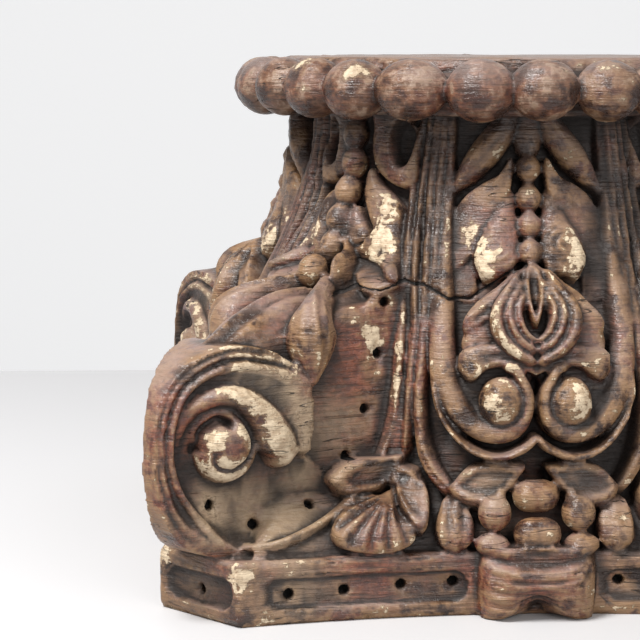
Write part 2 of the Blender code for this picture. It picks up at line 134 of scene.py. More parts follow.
def noise(p, seed=0):
    """Smooth value noise in -1..1 at the rows of p (already scaled)."""
    f = np.floor(p)
    t = p - f
    t = t * t * t * (t * (t * 6 - 15) + 10)
    i = f.astype(np.int64)
    out = 0.0
    for a in (0, 1):
        wa = t[:, 0] if a else 1 - t[:, 0]
        for b in (0, 1):
            wb = t[:, 1] if b else 1 - t[:, 1]
            for c in (0, 1):
                wc = t[:, 2] if c else 1 - t[:, 2]
                out = out + wa * wb * wc * hash3(i[:, 0] + a, i[:, 1] + b, i[:, 2] + c, seed)
    return out


def fbm(p, octaves, seed=0, gain=0.5):
    total, amp, norm = 0.0, 1.0, 0.0
    for k in range(octaves):
        total = total + amp * noise(p * 2.0 ** k + 17.3 * k, seed + k)
        norm += amp
        amp *= gain
    return total / norm


def from_stroke(x, z, pts):
    """Distance from each point to a polyline, and how far along it (0..1) the nearest point is."""
    pts = np.asarray(pts, float)
    best = np.full(x.shape, 1e9)
    along = np.zeros(x.shape)
    n = len(pts) - 1
    for i in range(n):
        ax, az = pts[i, 0], pts[i, 1]
        bx, bz = pts[i + 1, 0] - ax, pts[i + 1, 1] - az
        t = np.clip(((x - ax) * bx + (z - az) * bz) / (bx * bx + bz * bz + 1e-12), 0, 1)
        d = np.hypot(x - ax - t * bx, z - az - t * bz)
        near = d < best
        best = np.where(near, d, best)
        along = np.where(near, (i + t) / n, along)
    return best, along


# ------------------------------------------------------------ ground surface
def slab_radius(p):
    s, c = np.sin(np.radians(p)), np.cos(np.radians(p))
    k = (SLAB_CORNER_Y - SLAB_MID) / SLAB_CORNER_X ** 2
    s2 = np.maximum(s * s, 1e-9)
    side = (c - np.sqrt(np.maximum(c * c - 4 * k * s2 * SLAB_MID, 0))) / (2 * k * s2)
    side = np.where(c * c - 4 * k * s2 * SLAB_MID <= 0, 1.0, side)
    cut = (SLAB_CORNER_X + SLAB_CORNER_Y) / 2 * math.sqrt(2) / np.cos(np.radians(45 - p))
    return np.minimum(side, cut)


def ground(p, z):
    d = np.radians(45 - p)
    face = 0.0943 / (np.sin(d) + FACE_SLOPE * np.cos(d))
    horn = soft_min(face, np.interp(z, HORN_Z, HORN_R) / np.cos(d), 0.004)
    r = soft_max(np.interp(z, BELL_Z, BELL_R), horn, 0.010)
    flare = step(FLARE_HIGH, FLARE_LOW, z) ** 1.3 * step(43.5, 37, p)
    return r + np.maximum(slab_radius(p) - 0.009 - r, 0) * flare


def on_ground(p, z, h=0.0):
    def at(pp, zz):
        r = ground(np.abs(pp), zz)
        a = np.radians(pp)
        return np.stack([-r * np.sin(a), -r * np.cos(a), zz + 0 * r], -1)
    p, z, h = np.broadcast_arrays(np.asarray(p, float), np.asarray(z, float), np.asarray(h, float))
    here = at(p, z)
    dp, dz = at(p + 1.5, z) - at(p - 1.5, z), at(p, z + 0.004) - at(p, z - 0.004)
    n = np.cross(dz, dp)
    n /= np.linalg.norm(n, axis=-1, keepdims=True)
    n[..., 2] = np.clip(n[..., 2], -0.2, 0.5)
    n /= np.linalg.norm(n, axis=-1, keepdims=True)
    return here + n * h[..., None], n


# ---------------------------------------------------------------- components
class Pile:
    def __init__(self):
        self.v, self.f, self.n = [], [], 0

    def add(self, v, f):
        self.v.append(np.asarray(v, float))
        self.f.append(np.asarray([list(q) + [-1] * (4 - len(q)) for q in f], np.int64) + self.n)
        self.n += len(v)

    def octants(self, v, f, on_axis=False):
        f = [tuple(q) for q in f]
        for k in range(4):
            c, s = math.cos(k * math.pi / 2), math.sin(k * math.pi / 2)
            turn = np.array([[c, -s, 0], [s, c, 0], [0, 0, 1]])
            self.add(v @ turn.T, f)
            if not on_axis:
                w = v.copy()
                w[:, 0] *= -1
                self.add(w @ turn.T, [face[::-1] for face in f])

    def mesh(self, name):
        v = np.concatenate(self.v)
        faces = []
        start = 0
        for block, pts in zip(self.f, self.v):
            for q in block.tolist():
                faces.append(q if q[3] >= start else q[:3])
            start += len(pts)
        m = bpy.data.meshes.new(name)
        m.from_pydata(v.tolist(), [], faces)
        return m


def loft(rings):
    n, m = len(rings), len(rings[0])
    v = np.concatenate(rings + [rings[0].mean(0)[None], rings[-1].mean(0)[None]])
    i, j = np.meshgrid(np.arange(n - 1), np.arange(m), indexing="ij")
    k = (j + 1) % m
    f = np.stack([i * m + j, i * m + k, (i + 1) * m + k, (i + 1) * m + j], -1).reshape(-1, 4).tolist()
    for j in range(m):
        k = (j + 1) % m
        f.append([n * m, k, j])
        f.append([n * m + 1, (n - 1) * m + j, (n - 1) * m + k])
    return v, f


def skin(pts, nor, half, thick, root, section, around, taper):
    count = len(pts)
    tan = np.gradient(pts, axis=0)
    tan /= np.linalg.norm(tan, axis=1, keepdims=True) + 1e-12
    side = np.cross(nor, tan)
    side /= np.linalg.norm(side, axis=1, keepdims=True) + 1e-12
    up = np.cross(tan, side)
    a = np.linspace(0, 2 * math.pi, around, endpoint=False)
    rings = []
    for i in range(count):
        t = i / (count - 1)
        end = math.sqrt(max(0.02, min(1.0, t / taper if taper else 1, (1 - t) / taper if taper else 1)))
        u = np.cos(a)
        top = np.sin(a)
        if section is not None:
            top = np.where(top > 0, top * section(u, t), top)
        lift = np.where(top > 0, top * thick[i] * end, np.sign(top) * np.abs(top) ** 0.5 * max(root[i], thick[i] * end))
        rings.append(pts[i] + side[i] * (u * half[i] * end)[:, None] + up[i] * lift[:, None])
    return loft(rings)


def even_out(a, reach):
    """Moving average along a path, with its ends kept."""
    n = len(a)
    out = a.copy()
    for i in range(n):
        k = min(reach, i, n - 1 - i)
        out[i] = a[i - k:i + k + 1].mean(0)
    return out


def blade(path, section=None, count=40, around=24, taper=0.12):
    """Reed or leaf on the ground. Rows: degrees, height, lift, half width, thickness (mm)."""
    rows = spline(path, count)
    pts, nor = on_ground(rows[:, 0], rows[:, 1] * 1e-3, rows[:, 2] * 1e-3)
    pts, nor = even_out(pts, count // 9), even_out(nor, count // 5)
    nor /= np.linalg.norm(nor, axis=1, keepdims=True)
    return skin(pts, nor, rows[:, 3] * 1e-3, rows[:, 4] * 1e-3, rows[:, 2] * 1e-3 + ROOT, section, around, taper)


def petal(outline, edge, rise, shape=None, rays=72, levels=22, centre=None, power=2.2, tilt=(0.0, 0.0), scale=1.0):
    """Leaf of any star-shaped outline (degrees, height mm) on the ground. edge and rise are the
    heights in mm of its rim and of its crown; shape(t, x, z) adds relief in mm; tilt is mm per mm."""
    rows = spline(outline, rays, closed=True)
    c = rows.mean(0) if centre is None else np.asarray(centre, float)
    rows = c + (rows - c) * scale
    k = math.radians(1) * float(ground(abs(c[0]), c[1] * 1e-3)) * 1e3
    rings = []
    for t in np.linspace(0.04, 1.0, levels):
        p = c[0] + (rows[:, 0] - c[0]) * t
        z = c[1] + (rows[:, 1] - c[1]) * t
        x, zz = (p - c[0]) * k, z - c[1]
        h = edge + (rise - edge) * max(0.0, 1 - t ** power) ** (1 / power) + tilt[0] * x + tilt[1] * zz
        if shape is not None:
            h = h + shape(t, x, zz)
        if t > 0.985:
            h = h - 0.5
        rings.append(on_ground(p, z * 1e-3, h * 1e-3)[0])
    for t, h in ((1.0, 0.35), (0.98, -0.4), (0.93, -1.0), (0.4, -1.0)):
        p = c[0] + (rows[:, 0] - c[0]) * t
        z = c[1] + (rows[:, 1] - c[1]) * t
        depth = np.where(h > 0, (edge + tilt[0] * (p - c[0]) * k + tilt[1] * (z - c[1])) * h, ROOT * 1e3 * h)
        rings.append(on_ground(p, z * 1e-3, depth * 1e-3)[0])
    return loft(rings[::-1])


def ball(centre, radii, normal, tangent=(0, 0, 1), rings=16, around=26):
    n = np.asarray(normal, float) / np.linalg.norm(normal)
    t = np.asarray(tangent, float) - n * np.dot(tangent, n)
    t /= np.linalg.norm(t)
    b = np.cross(n, t)
    bm = bmesh.new()
    bmesh.ops.create_uvsphere(bm, u_segments=around, v_segments=rings, radius=1.0)
    v = np.array([w.co[:] for w in bm.verts])
    f = [tuple(w.index for w in face.verts) for face in bm.faces]
    bm.free()
    return np.asarray(centre) + v[:, :1] * radii[0] * b + v[:, 1:2] * radii[1] * t + v[:, 2:] * radii[2] * n, f


# ------------------------------------------------------------ the whole body
def panel_depth(p, z):
    """How far inside a sunk panel of the slab a point is, in mm (negative outside)."""
    r = slab_radius(p)
    x, y = r * np.sin(np.radians(p)), r * np.cos(np.radians(p))
    side = np.minimum(SLAB_CORNER_X - 0.012 - x, x - BOSS_HALF - 0.004)
    cut = 0.0250 - np.abs(x - y) / math.sqrt(2)
    inside = np.where(p < math.degrees(math.atan2(SLAB_CORNER_X, SLAB_CORNER_Y)), side, cut)
    across = np.minimum(z - PANEL_LOW, PANEL_HIGH - z)
    corner = 0.0080
    dx, dz = np.maximum(corner - inside, 0), np.maximum(corner - across, 0)
    return (corner - np.hypot(dx, dz)) * 1e3


def body_mesh(pile):
    fine = 0.0012
    zs = np.concatenate([[0, 0.0008, 0.002, 0.0035], np.arange(0.0045, 0.0290, min(fine, 0.0012)),
                         [0.0300, 0.0310, 0.0320, SLAB_H, SLAB_H + 0.0004], np.arange(0.034, 0.262, fine)])
    ps = np.arange(0, 360, 0.36)
    folded = np.abs((ps + 45) % 90 - 45)
    rim = slab_radius(folded)
    a = np.radians(ps)
    rings = []
    for z in zs:
        if z <= SLAB_H:
            d = panel_depth(folded, z)
            r = rim - 0.0030 * step(0.0, 1.3, d)
            r = r - 0.0009 * np.exp(-((d + 2.0) / 0.75) ** 2)
            r = r + 0.0006 * np.exp(-((d + 0.5) / 0.6) ** 2)
            r = r - 0.0024 * (1 - step(0, 0.0045, z)) ** 2 - 0.0022 * step(SLAB_H - 0.0030, SLAB_H, z) ** 2
            r = r - 0.0010 * math.exp(-((z - 0.0288) / 0.0006) ** 2)
        else:
            r = ground(folded, z)
            r = np.minimum(r, rim - 0.003) if z < 0.036 else r
            h = hollows(folded, z * 1e3)
            r = r - h * 1e-3
        rings.append(np.stack([r * np.sin(a), -r * np.cos(a), np.full(len(a), z)], 1))
    pile.add(*loft(rings))


def hollows(p, z):
    """Deep drilled and gouged places behind the ornament, in mm."""
    h = 0.0
    for pc, zc, dp, dz, deep in ((35.2, 157, 1.8, 4.5, 9.0), (33.6, 157, 1.7, 4.6, 11.0), (33.2, 231, 2.6, 11, 6.0), (37.5, 150, 8, 70, 2.0), (38.5, 90, 4.5, 40, 2.5), (16.3, 90, 2.2, 10, 5.0),
                                 (18.5, 60, 2.0, 9, 5.0), (3.5, 68, 2.5, 6, 3.0), (10.5, 112, 2.5, 5, 4.0),
                                 (13.0, 166, 2.0, 6, 4.0), (35.5, 168, 4.5, 4.0, 5.0), (14.5, 163, 2.0, 6, 4.0)):
        h = h + deep * np.exp(-((p - pc) / dp) ** 2 - ((z - zc) / dz) ** 2)
    return h


def ring_and_disc(pile):
    rings = []
    for r, z in ((0.100, DISC_UNDER), (NECK_DISC_R + 0.003, DISC_UNDER), (NECK_DISC_R + 0.003, 0.2755), (NECK_DISC_R + 0.0022, 0.2775),
                 (NECK_DISC_R + 0.0012, 0.2790), (NECK_DISC_R, HEIGHT), (NECK_DISC_R - 0.02, HEIGHT), (0.05, HEIGHT)):
        a = np.radians(np.arange(0, 360, 1.0))
        rings.append(np.stack([r * np.sin(a), -r * np.cos(a), np.full(len(a), z)], 1))
    pile.add(*loft(rings))
    rng = np.random.default_rng(7)
    for i in range(BEADS):
        w = BEAD_START + i * 360 / BEADS
        near = {25: -1.1, 24: -1.1, 23: 0.3, 22: 1.6, 21: 1.0, 0: 0.3}
        w += near.get(i, rng.uniform(-0.6, 0.6))
        a = math.radians(w)
        out = np.array([math.sin(a), -math.cos(a), 0])
        long = BEAD_LONG * (1 + rng.uniform(-0.03, 0.04)) * (1.13 if i == 25 else 1.03)
        tall = BEAD_R * (1 + rng.uniform(-0.02, 0.012))
        pile.add(*ball(out * BEAD_RING_R + [0, 0, BEAD_Z + rng.uniform(-0.0006, 0.0004)], (long, tall, BEAD_R), out, rings=24, around=40))
    # the string that the beads sit on
    rings = []
    a = np.radians(np.arange(0, 360, 1.0))
    for w in np.linspace(0, 2 * math.pi, 16, endpoint=False):
        r = BEAD_RING_R - 0.0135 + 0.0080 * math.cos(w)
        rings.append(np.stack([r * np.sin(a), -r * np.cos(a), np.full(len(a), BEAD_Z - 0.001 + 0.0100 * math.sin(w))], 1))
    n, m = 16, len(a)
    v = np.concatenate(rings)
    f = [(i * m + j, i * m + (j + 1) % m, ((i + 1) % n) * m + (j + 1) % m, ((i + 1) % n) * m + j) for i in range(n) for j in range(m)]
    pile.add(v, f)


def boss(pile):
    rings = []
    for z in np.linspace(0.0, 0.0372, 60):
        reach = BOSS_OUT * math.sqrt(max(0.0, 1 - ((z - 0.019) / 0.028) ** 2))
        half = BOSS_HALF * math.sqrt(max(0.04, 1 - ((z - 0.016) / 0.031) ** 4))
        u = np.linspace(-1, 1, 61)
        wave = 0.0011 * np.sin(2 * math.pi * (z * 1e3 - 5 * u * u) / 7.5) * (1 - u ** 6)
        bowl = 0.006 * np.exp(-(u / 0.35) ** 2) * math.exp(-(z / 0.010) ** 2)
        raised = z + 0.0105 * np.exp(-(u / 0.42) ** 2) * max(0.0, 1 - z / 0.020)
        bowl = bowl + 0.0055 * np.exp(-((z - 0.0315) / 0.0042) ** 2) * (1 - 0.5 * u * u)
        front = np.stack([u * half, -(SLAB_MID + (reach + wave - bowl) * (1 - u ** 4) ** 0.5), raised], 1)
        back = np.stack([u[::-1] * half, np.full(61, -(SLAB_MID - 0.02)), np.full(61, z)], 1)
        rings.append(np.concatenate([front, back]))
    v, f = loft(rings)
    pile.octants(v, f, on_axis=True)


# --------------------------------------------------------------- the volutes
RIM_A = [0, 18, 38, 60, 90, 135, 160, 180, 208, 230, 239, 248, 264, 280, 291, 300, 307, 318, 330, 338, 348, 360]
RIM_Q = [44, 48, 54, 53, 51, 47, 42.5, 40.3, 44, 50.5, 53, 54.5, 55.5, 58.8, 62.5, 67, 71.5, 77, 78, 66, 46, 44]
OUTER = spline([(66, -39), (57, -46), (42, -52.5), (26, -55.4), (12, -55.2), (2, -52.6), (-6, -47.6), (-14.5, -38.4), (-23, -27), (-28.5, -17), (-31.5, -7), (-32.5, 3),
                (-30.5, 17), (-24, 30), (-12, 38), (2, 41.5), (14, 40), (27, 35), (37, 30), (44, 28)], 64)
CURL = spline([(-21, -28), (-27, -14), (-30.5, -1.7), (-29, 7.6), (-24.7, 17), (-17, 23.6), (-7, 26.9), (3.3, 25.7), (11.5, 20.5), (18, 12.5), (23.5, 3.0), (28, -5.0)], 45)
CURL_W = [1.5, 2.4, 3.2, 3.8, 4.2, 4.5, 4.8, 5.6, 6.8, 8.2, 9.2, 8.2]
CURL_H = [-8.5, -7.5, -5.5, -3.5, -1, 2.0, 4.5, 6.0, 6.8, 7.2, 7.2, 5.5]
EYE_A = [0, 30, 64, 90, 120, 145, 165, 180, 222, 270, 311, 360]
EYE_Q = [16.7, 17.0, 18.5, 20.5, 20.5, 20.0, 18.5, 16.5, 18.0, 18.8, 18.2, 16.7]
EYE_GROOVE = spline([(1.0, 17.6), (5.4, 13.8), (9.3, 7.0), (9.6, 0.8), (6.1, -5.4), (-0.1, -9.3), (-6.9, -8.9), (-11.0, -5.4), (-11.5, -1.0)], 40)
EYE_INNER = spline([(-18.0, 1.0), (-15.8, 8.8), (-11, 13.2), (-6.9, 15), (-3.1, 13.6)], 20)
EYE_C = (-2.4, 1.0)


def volute_relief(x, z, q, a):
    """Height in mm of a volute's face at x, z mm from its eye."""
    turn = (318 - a) % 360
    h = np.interp(turn, [0, 50, 100, 138, 190, 235, 290, 324, 331, 360], [-9.5, -8.0, -7.0, -6.0, -3.6, 0.4, 1.8, 1.4, -9.5, -9.5])
    # the rim outside the bead: two hollow bands with a ridge between
    d, s = from_stroke(x, z, OUTER)
    q_ridge = np.interp(a % 360, [8, 18, 32, 40, 52, 71, 87, 107, 129, 151, 175, 192, 211, 230, 249, 264, 274, 283, 294, 312, 327, 336],
                        [52, 54, 54, 52, 48, 42.5, 41.5, 39.8, 38.4, 34.9, 32.6, 32.3, 33.2, 35.5, 39.6, 47.0, 52.2, 56.4, 61.2, 68.6, 75.0, 77.0])
    beyond = q - q_ridge
    width = np.maximum(np.interp(a % 360, RIM_A, RIM_Q) - q_ridge, 4.0)
    w = np.clip(beyond / width, 0, 1)
    rim = 0.6 - 3.4 * np.sin(math.pi * np.clip(w / 0.52, 0, 1)) ** 0.8 - 2.8 * np.sin(math.pi * np.clip((w - 0.56) / 0.44, 0, 1)) ** 0.8
    lower = step(232, 262, a % 360)
    rim = rim * (1 - lower) + lower * (0.2 - 3.0 * w ** 1.5)
    right = step(338, 328, a % 360)
    rim = rim * right + (1 - right) * h
    near_rim = np.exp(-np.clip(-beyond, 0, 60) / 7.5) * step(205, 250, a % 360) * step(345, 330, a % 360)
    h = h + (-1.8 - h) * near_rim
    h = np.where(beyond > -0.5, rim, h)
    k = np.clip(1 - (d / 2.3) ** 2, 0, 1)
    lift = np.interp(s, [0, 0.05, 0.12, 0.3, 0.6, 0.9, 1.0], [-5.0, -2.0, 0.3, 1.0, 1.6, 1.8, 0.8])
    h = np.maximum(h, np.where(k > 0, h + (lift - h) * k ** 0.7, -99))
    # curled band
    d, s = from_stroke(x, z, CURL)
    n = np.linspace(0, 1, len(CURL_W))
    w, top = np.interp(s, n, CURL_W), np.interp(s, n, CURL_H)
    k = np.clip(1 - (d / w) ** 2, 0, 1)
    h = np.maximum(h, np.where(k > 0, h + (top - h) * k ** 0.6, -99))
    # eye
    dx, dz = x - EYE_C[0], z - EYE_C[1]
    qe = np.hypot(dx, dz)
    k = np.clip(1 - (qe / np.interp(np.degrees(np.arctan2(dz, dx)) % 360, EYE_A, EYE_Q)) ** 2, 0, 1)
    h = np.maximum(h, np.where(k > 0, -8 + 16.5 * k ** 0.42, -99))
    d, s = from_stroke(x, z, EYE_GROOVE)
    h = h - np.interp(s, [0, 0.2, 0.5, 0.8, 1.0], [2.0, 4.2, 4.6, 4.2, 2.0]) * np.exp(-(d / 1.45) ** 2)
    d, s = from_stroke(x, z, EYE_INNER)
    h = h - np.interp(s, [0, 0.3, 0.75, 1.0], [7.0, 11.0, 12.0, 10.5]) * np.exp(-(d / np.interp(s, [0, 0.35, 1], [2.2, 2.6, 2.3])) ** 2)
    return h


def volute(pile):
    slant = math.hypot(1, FACE_SLOPE)
    ca, sa = 1 / slant, FACE_SLOPE / slant
    u, e = np.array([-1, -1]) / math.sqrt(2), np.array([1, -1]) / math.sqrt(2)
    start = TIP_R * u + TIP_HALF * e
    along = -ca * u + sa * e
    out = np.array([along[1], -along[0]])
    a = np.arange(0, 360, 1.25)
    reach = np.interp(a, RIM_A, RIM_Q)
    rings = []
    for t in np.concatenate([np.linspace(0.015, 0.985, 56), [1.0]]):
        q = reach * t
        x, z = q * np.cos(np.radians(a)), q * np.sin(np.radians(a))
        h = volute_relief(x, z, q, a)
        h = h - 1.4 * step(0.965, 1.0, t)
        s = EYE_S + x * 1e-3
        xy = start + s[:, None] * along + (h * 1e-3)[:, None] * out
        rings.append(np.column_stack([xy, np.maximum(EYE_Z + z * 1e-3, SLAB_H - 0.0015)]))
    last = rings[-1]
    off = last[:, :2] @ e
    for part in (0.15, 0.5, 1.0):
        down = last.copy()
        down[:, :2] -= e * np.maximum(off * part + 0.001 * part, 0.0)[:, None]
        rings.append(down)
    v, f = loft(rings)
    pile.octants(v, f)


# ------------------------------------------------------------- the ornament
def ornament(pile):
    def keel(u, t):
        return 1.15 - 0.55 * np.abs(u)

    def flat(u, t):
        return 0.75 + 0.25 * np.cos(math.pi * u)

    def split(u, t):
        return 1 - 0.45 * np.exp(-((u + 0.15) / 0.16) ** 2)

    # reeds of the bundle; the outer one runs on as the volute's border
    pile.octants(*blade([(27.6, 258, 1, 2.0, 3.5), (29.4, 225, 1.5, 2.4, 4), (29.8, 205, 2, 2.6, 4.5), (29.4, 188, 2.5, 2.8, 5), (27.4, 165, 2.5, 2.8, 5),
                         (26.8, 141, 2.5, 3.0, 5), (27.2, 116, 2.5, 3.2, 5.5), (27.7, 92, 2.5, 3.2, 5.5), (29.2, 71, 2.5, 3.0, 5),
                         (31.4, 54, 2.5, 3.0, 5), (33.2, 44.5, 2.5, 2.6, 4.5), (35.0, 39.5, 2.2, 2.6, 4.5), (37.0, 37.4, 2.0, 2.4, 4.5),
                         (39.2, 37.2, 2.2, 2.2, 4.5), (41.5, 38.6, 3.5, 2.0, 4.5)], flat, count=140, around=16, taper=0.03))
    pile.octants(*blade([(25.4, 258, 1.5, 2.2, 5), (26.6, 215, 2.5, 2.2, 6), (26.6, 180, 3, 2.4, 6), (25.4, 162, 3.2, 2.6, 6.2), (24.3, 141, 3.5, 3.0, 6.5),
                         (24.0, 112, 3.5, 3.2, 6.5), (24.0, 90, 3, 3.0, 6), (24.6, 76, 2, 2.0, 5)], flat, count=100, around=16, taper=0.04))
    pile.octants(*blade([(23.2, 258, 2, 2.2, 5), (24.2, 215, 3, 2.2, 6.5), (24.2, 190, 3.5, 2.2, 6.8), (22.9, 162, 4, 2.4, 7), (21.8, 141, 4, 2.6, 7),
                         (21.8, 112, 4.5, 3.0, 7.5), (21.6, 92, 4.5, 3.4, 8), (20.4, 79, 5, 4.0, 8.5), (18.6, 69.5, 5, 4.2, 8.5), (16.6, 61, 4.5, 4.0, 8.0), (14.6, 56, 4, 3.0, 7)],
                        split, count=110, around=22, taper=0.03))
    pile.octants(*blade([(21.2, 258, 2, 2.0, 5), (22.0, 215, 3, 2.0, 6), (22.0, 190, 3, 2.2, 6.5), (20.8, 162, 4, 2.2, 6.5),
                         (19.8, 138, 5, 2.2, 7.5), (19.2, 114, 6, 2.0, 8.5), (18.0, 103, 7, 2.0, 9.5), (15.7, 92, 8, 2.0, 10), (12.5, 83.5, 9, 2.0, 10.5),
                         (8.8, 78.4, 10, 2.2, 11), (5.0, 78.4, 11, 2.2, 11), (2.0, 83.5, 11, 2.2, 11), (-0.3, 90.5, 11, 2.0, 11)], count=120, around=14, taper=0.02))
    pile.octants(*blade([(26.0, 128, 0.3, 1.2, 3), (25.9, 108, 1.2, 3.4, 4.5), (26.4, 92, 1.8, 5.4, 5.5), (27.4, 80, 1.8, 6.4, 5.5), (28.2, 72, 1.5, 4.5, 4)],
                        count=40, around=18, taper=0.08))
    # broad stem turning into the inner scroll, and on round its eye
    def trough(u, t):
        return 0.80 + 0.20 * u * u + 0.14 * np.exp(-((u + 0.85) / 0.18) ** 2)
    pile.octants(*blade([(19.4, 258, 1, 1.6, 5), (19.8, 215, 2, 2.0, 6), (19.6, 190, 3, 2.6, 7), (18.7, 165, 4, 4.0, 8),
                         (18.2, 148, 5, 5.2, 9), (18.0, 136, 6, 6.0, 10), (17.6, 125, 6.5, 6.6, 10.5), (16.5, 111.4, 7.0, 6.6, 11), (14.5, 100.2, 7.5, 6.6, 11.5),
                         (10.6, 90.8, 8.5, 6.2, 12), (6.4, 87.6, 9.5, 5.4, 12.5), (3.0, 91.0, 10, 4.6, 12.5), (1.2, 98.5, 10, 3.8, 12.5),
                         (0.9, 107.0, 10.5, 3.4, 12), (1.6, 115.0, 11.5, 3.2, 12.0), (3.4, 121.0, 12, 3.0, 11.5), (6.0, 122.5, 12, 2.4, 11)], trough, count=170, around=30, taper=0.02))
    # filling behind the scroll's eye
    pile.octants(*petal([(14.6, 124), (13.4, 131), (9.2, 136), (4.0, 136), (0.6, 130), (0.4, 120), (2.0, 106), (6.0, 98), (11.0, 102), (14.0, 112)], 8.0, 10.0, power=2.4,
                        centre=(8.0, 118)))
    # smooth lip over the eye of the scroll
    pile.octants(*petal([(14.2, 123.5), (13.8, 129.5), (11.0, 132.5), (7.5, 133.5), (4.6, 131.5), (2.2, 127.5), (-0.2, 123.0), (-0.3, 118.0), (1.4, 119.8), (4.2, 121.8), (6.8, 122.2),
                         (9.0, 120.6), (10.8, 116.5), (12.2, 115.5), (13.6, 118.5)], 13.0, 18.5, lambda t, x, z: -1.6 * step(0.55, 0.2, t), power=2.6, centre=(7.5, 126.6)))
    # eye of the scroll
    eye, n = on_ground(6.2, 0.1070, 0.0125)
    pile.octants(*ball(eye, (0.0116, 0.0126, 0.0128), n, rings=24, around=40))

    # palmette over the scrolls
    def splits(t, x, z):
        w = (z * 0.80 + x * 0.62)
        return 0.9 * np.cos(w * 2 * math.pi / 5.4) * (t < 0.95)
    pile.octants(*petal([(2.8, 168.5), (6.9, 160.5), (9.9, 155), (12.2, 149), (13.7, 142.5), (13.2, 138), (10.4, 141), (8.2, 144.5), (6.6, 150), (4.6, 158)],
                        12.0, 15.5, splits, power=2.6, centre=(9.2, 150)))
    pile.octants(*petal([(12.9, 141), (10.5, 144), (8.0, 143.5), (7.4, 138), (8.0, 133.5), (10.8, 130), (13.2, 129), (14.0, 134)],
                        8.0, 13.5, power=2.4))
    ribs = ([(2.2, 168, 12, 1.4, 4), (4.6, 157, 15, 2.6, 7), (6.8, 148, 17, 3.8, 9), (7.2, 140.5, 17.5, 3.9, 9), (5.4, 133, 17, 3.6, 9), (2.6, 127, 16, 3.2, 8), (-0.3, 123.5, 15, 2.8, 8)],
            [(1.9, 162, 13, 1.2, 4), (3.6, 154, 16, 2.4, 7), (4.9, 147, 17.5, 2.6, 8), (4.5, 139.5, 17.5, 2.6, 8), (2.4, 133, 17, 2.4, 8), (-0.3, 129, 16, 2.2, 7)],
            [(1.7, 157, 14, 1.0, 4), (2.8, 150, 16.5, 2.0, 7), (3.2, 143.5, 17.5, 2.2, 8), (2.0, 137.5, 17, 2.0, 7), (-0.3, 134, 16, 1.8, 7)],
            [(0.9, 168, 12, 1.2, 4), (1.3, 157, 14.5, 1.5, 6), (0.8, 146, 16, 1.5, 6), (-0.2, 140, 16, 1.4, 6)])
    for path in ribs:
        pile.octants(*blade(path, count=46, around=18, taper=0.08))
    pile.octants(*petal([(0.3, 167), (3.5, 157), (6.0, 146), (5.5, 135), (2.5, 127), (-0.5, 124), (-0.6, 146)], 9, 13, power=2.4, centre=(2.4, 144)))

    # cup-shaped leaves close under the bead ring, open towards the bundle
    def cup(lip_side, cx, cz):
        def shape(t, x, z):
            inner = np.hypot((x * lip_side + cx) / 6.0, (z - cz) / 13.0)
            return -11.5 * step(1.15, 0.70, inner)
        return shape
    pile.octants(*petal([(41.8, 256), (42.0, 243), (42.2, 235), (41.5, 226), (39.8, 219), (36.8, 214), (33.8, 211.5), (30.8, 210.5), (28.8, 213), (28.2, 220), (28.8, 230), (30.4, 241), (32.4, 256)],
                        6.0, 10.5, cup(1, 4.5, 4.5), power=3.0, centre=(35.4, 230)))
    def furrow(u, t):
        return 1.05 - 0.35 * u * u - 0.22 * np.exp(-((u - 0.12) / 0.20) ** 2) + 0.05 * np.cos(u * 14)
    pile.octants(*blade([(3.6, 254, 3, 4.0, 6), (5.0, 247, 5, 6.4, 7.5), (7.8, 238, 6, 7.8, 8.5), (11.4, 229, 6, 7.8, 8.5), (15.0, 219.5, 5, 6.0, 7), (18.0, 211, 4, 2.6, 5), (19.0, 208, 3, 1.4, 4)],
                        furrow, count=60, around=34, taper=0.06))
    pile.octants(*blade([(0.0, 256, 2, 6.0, 5), (0.0, 246, 4, 8.0, 6), (0.0, 236, 5, 7.4, 6), (0.0, 226, 4, 5.0, 5)], count=24, around=20, taper=0.15), on_axis=True)

    # creased leaf under each cup, next to the corner
    def crease(t, x, z):
        return 1.6 * np.exp(-((x + 0.10 * z) / 2.2) ** 2) - 0.5
    pile.octants(*petal([(42.4, 221), (43.4, 214), (43.2, 207), (41.7, 199), (39.6, 192), (38.0, 187), (39.4, 180.5), (42.0, 176), (40.0, 172), (33.6, 168), (27.8, 163),
                         (29.6, 176), (30.6, 186), (31.2, 194), (32.2, 201), (35.4, 207), (39.2, 213)], 7.0, 11.5, crease, power=2.4, centre=(35.6, 189)))
    pile.octants(*petal([(45.4, 199.5), (42.4, 193), (39.4, 185), (41.0, 180), (43.8, 178), (46.0, 184), (46.6, 191)], 6.5, 10.0, power=2.2))
    pile.octants(*blade([(46.2, 184, 4, 1.8, 5), (43.8, 176, 6, 2.8, 7), (41.4, 167, 8, 3.2, 8), (40.4, 160, 8, 3.0, 8)], keel, count=26, around=18))
    pile.octants(*petal([(41.8, 175), (34.0, 168.5), (28.0, 165), (27.8, 162), (31.0, 160), (35.0, 161), (39.5, 166)], 2.5, 4.0, tilt=(0.0, 0.18)))
    # creased leaf towards the middle of the face: a flat half and a rounded half
    pile.octants(*petal([(18.0, 199), (15.3, 207.5), (11.1, 213.5), (6.8, 218.5), (4.3, 228), (4.4, 211), (7.4, 199), (10.6, 189), (12.6, 178), (15.6, 170.5), (18.9, 164), (19.3, 172),
                         (19.0, 186)], 7.0, 9.0, power=2.6, centre=(13.8, 192), tilt=(-0.22, 0.05)))

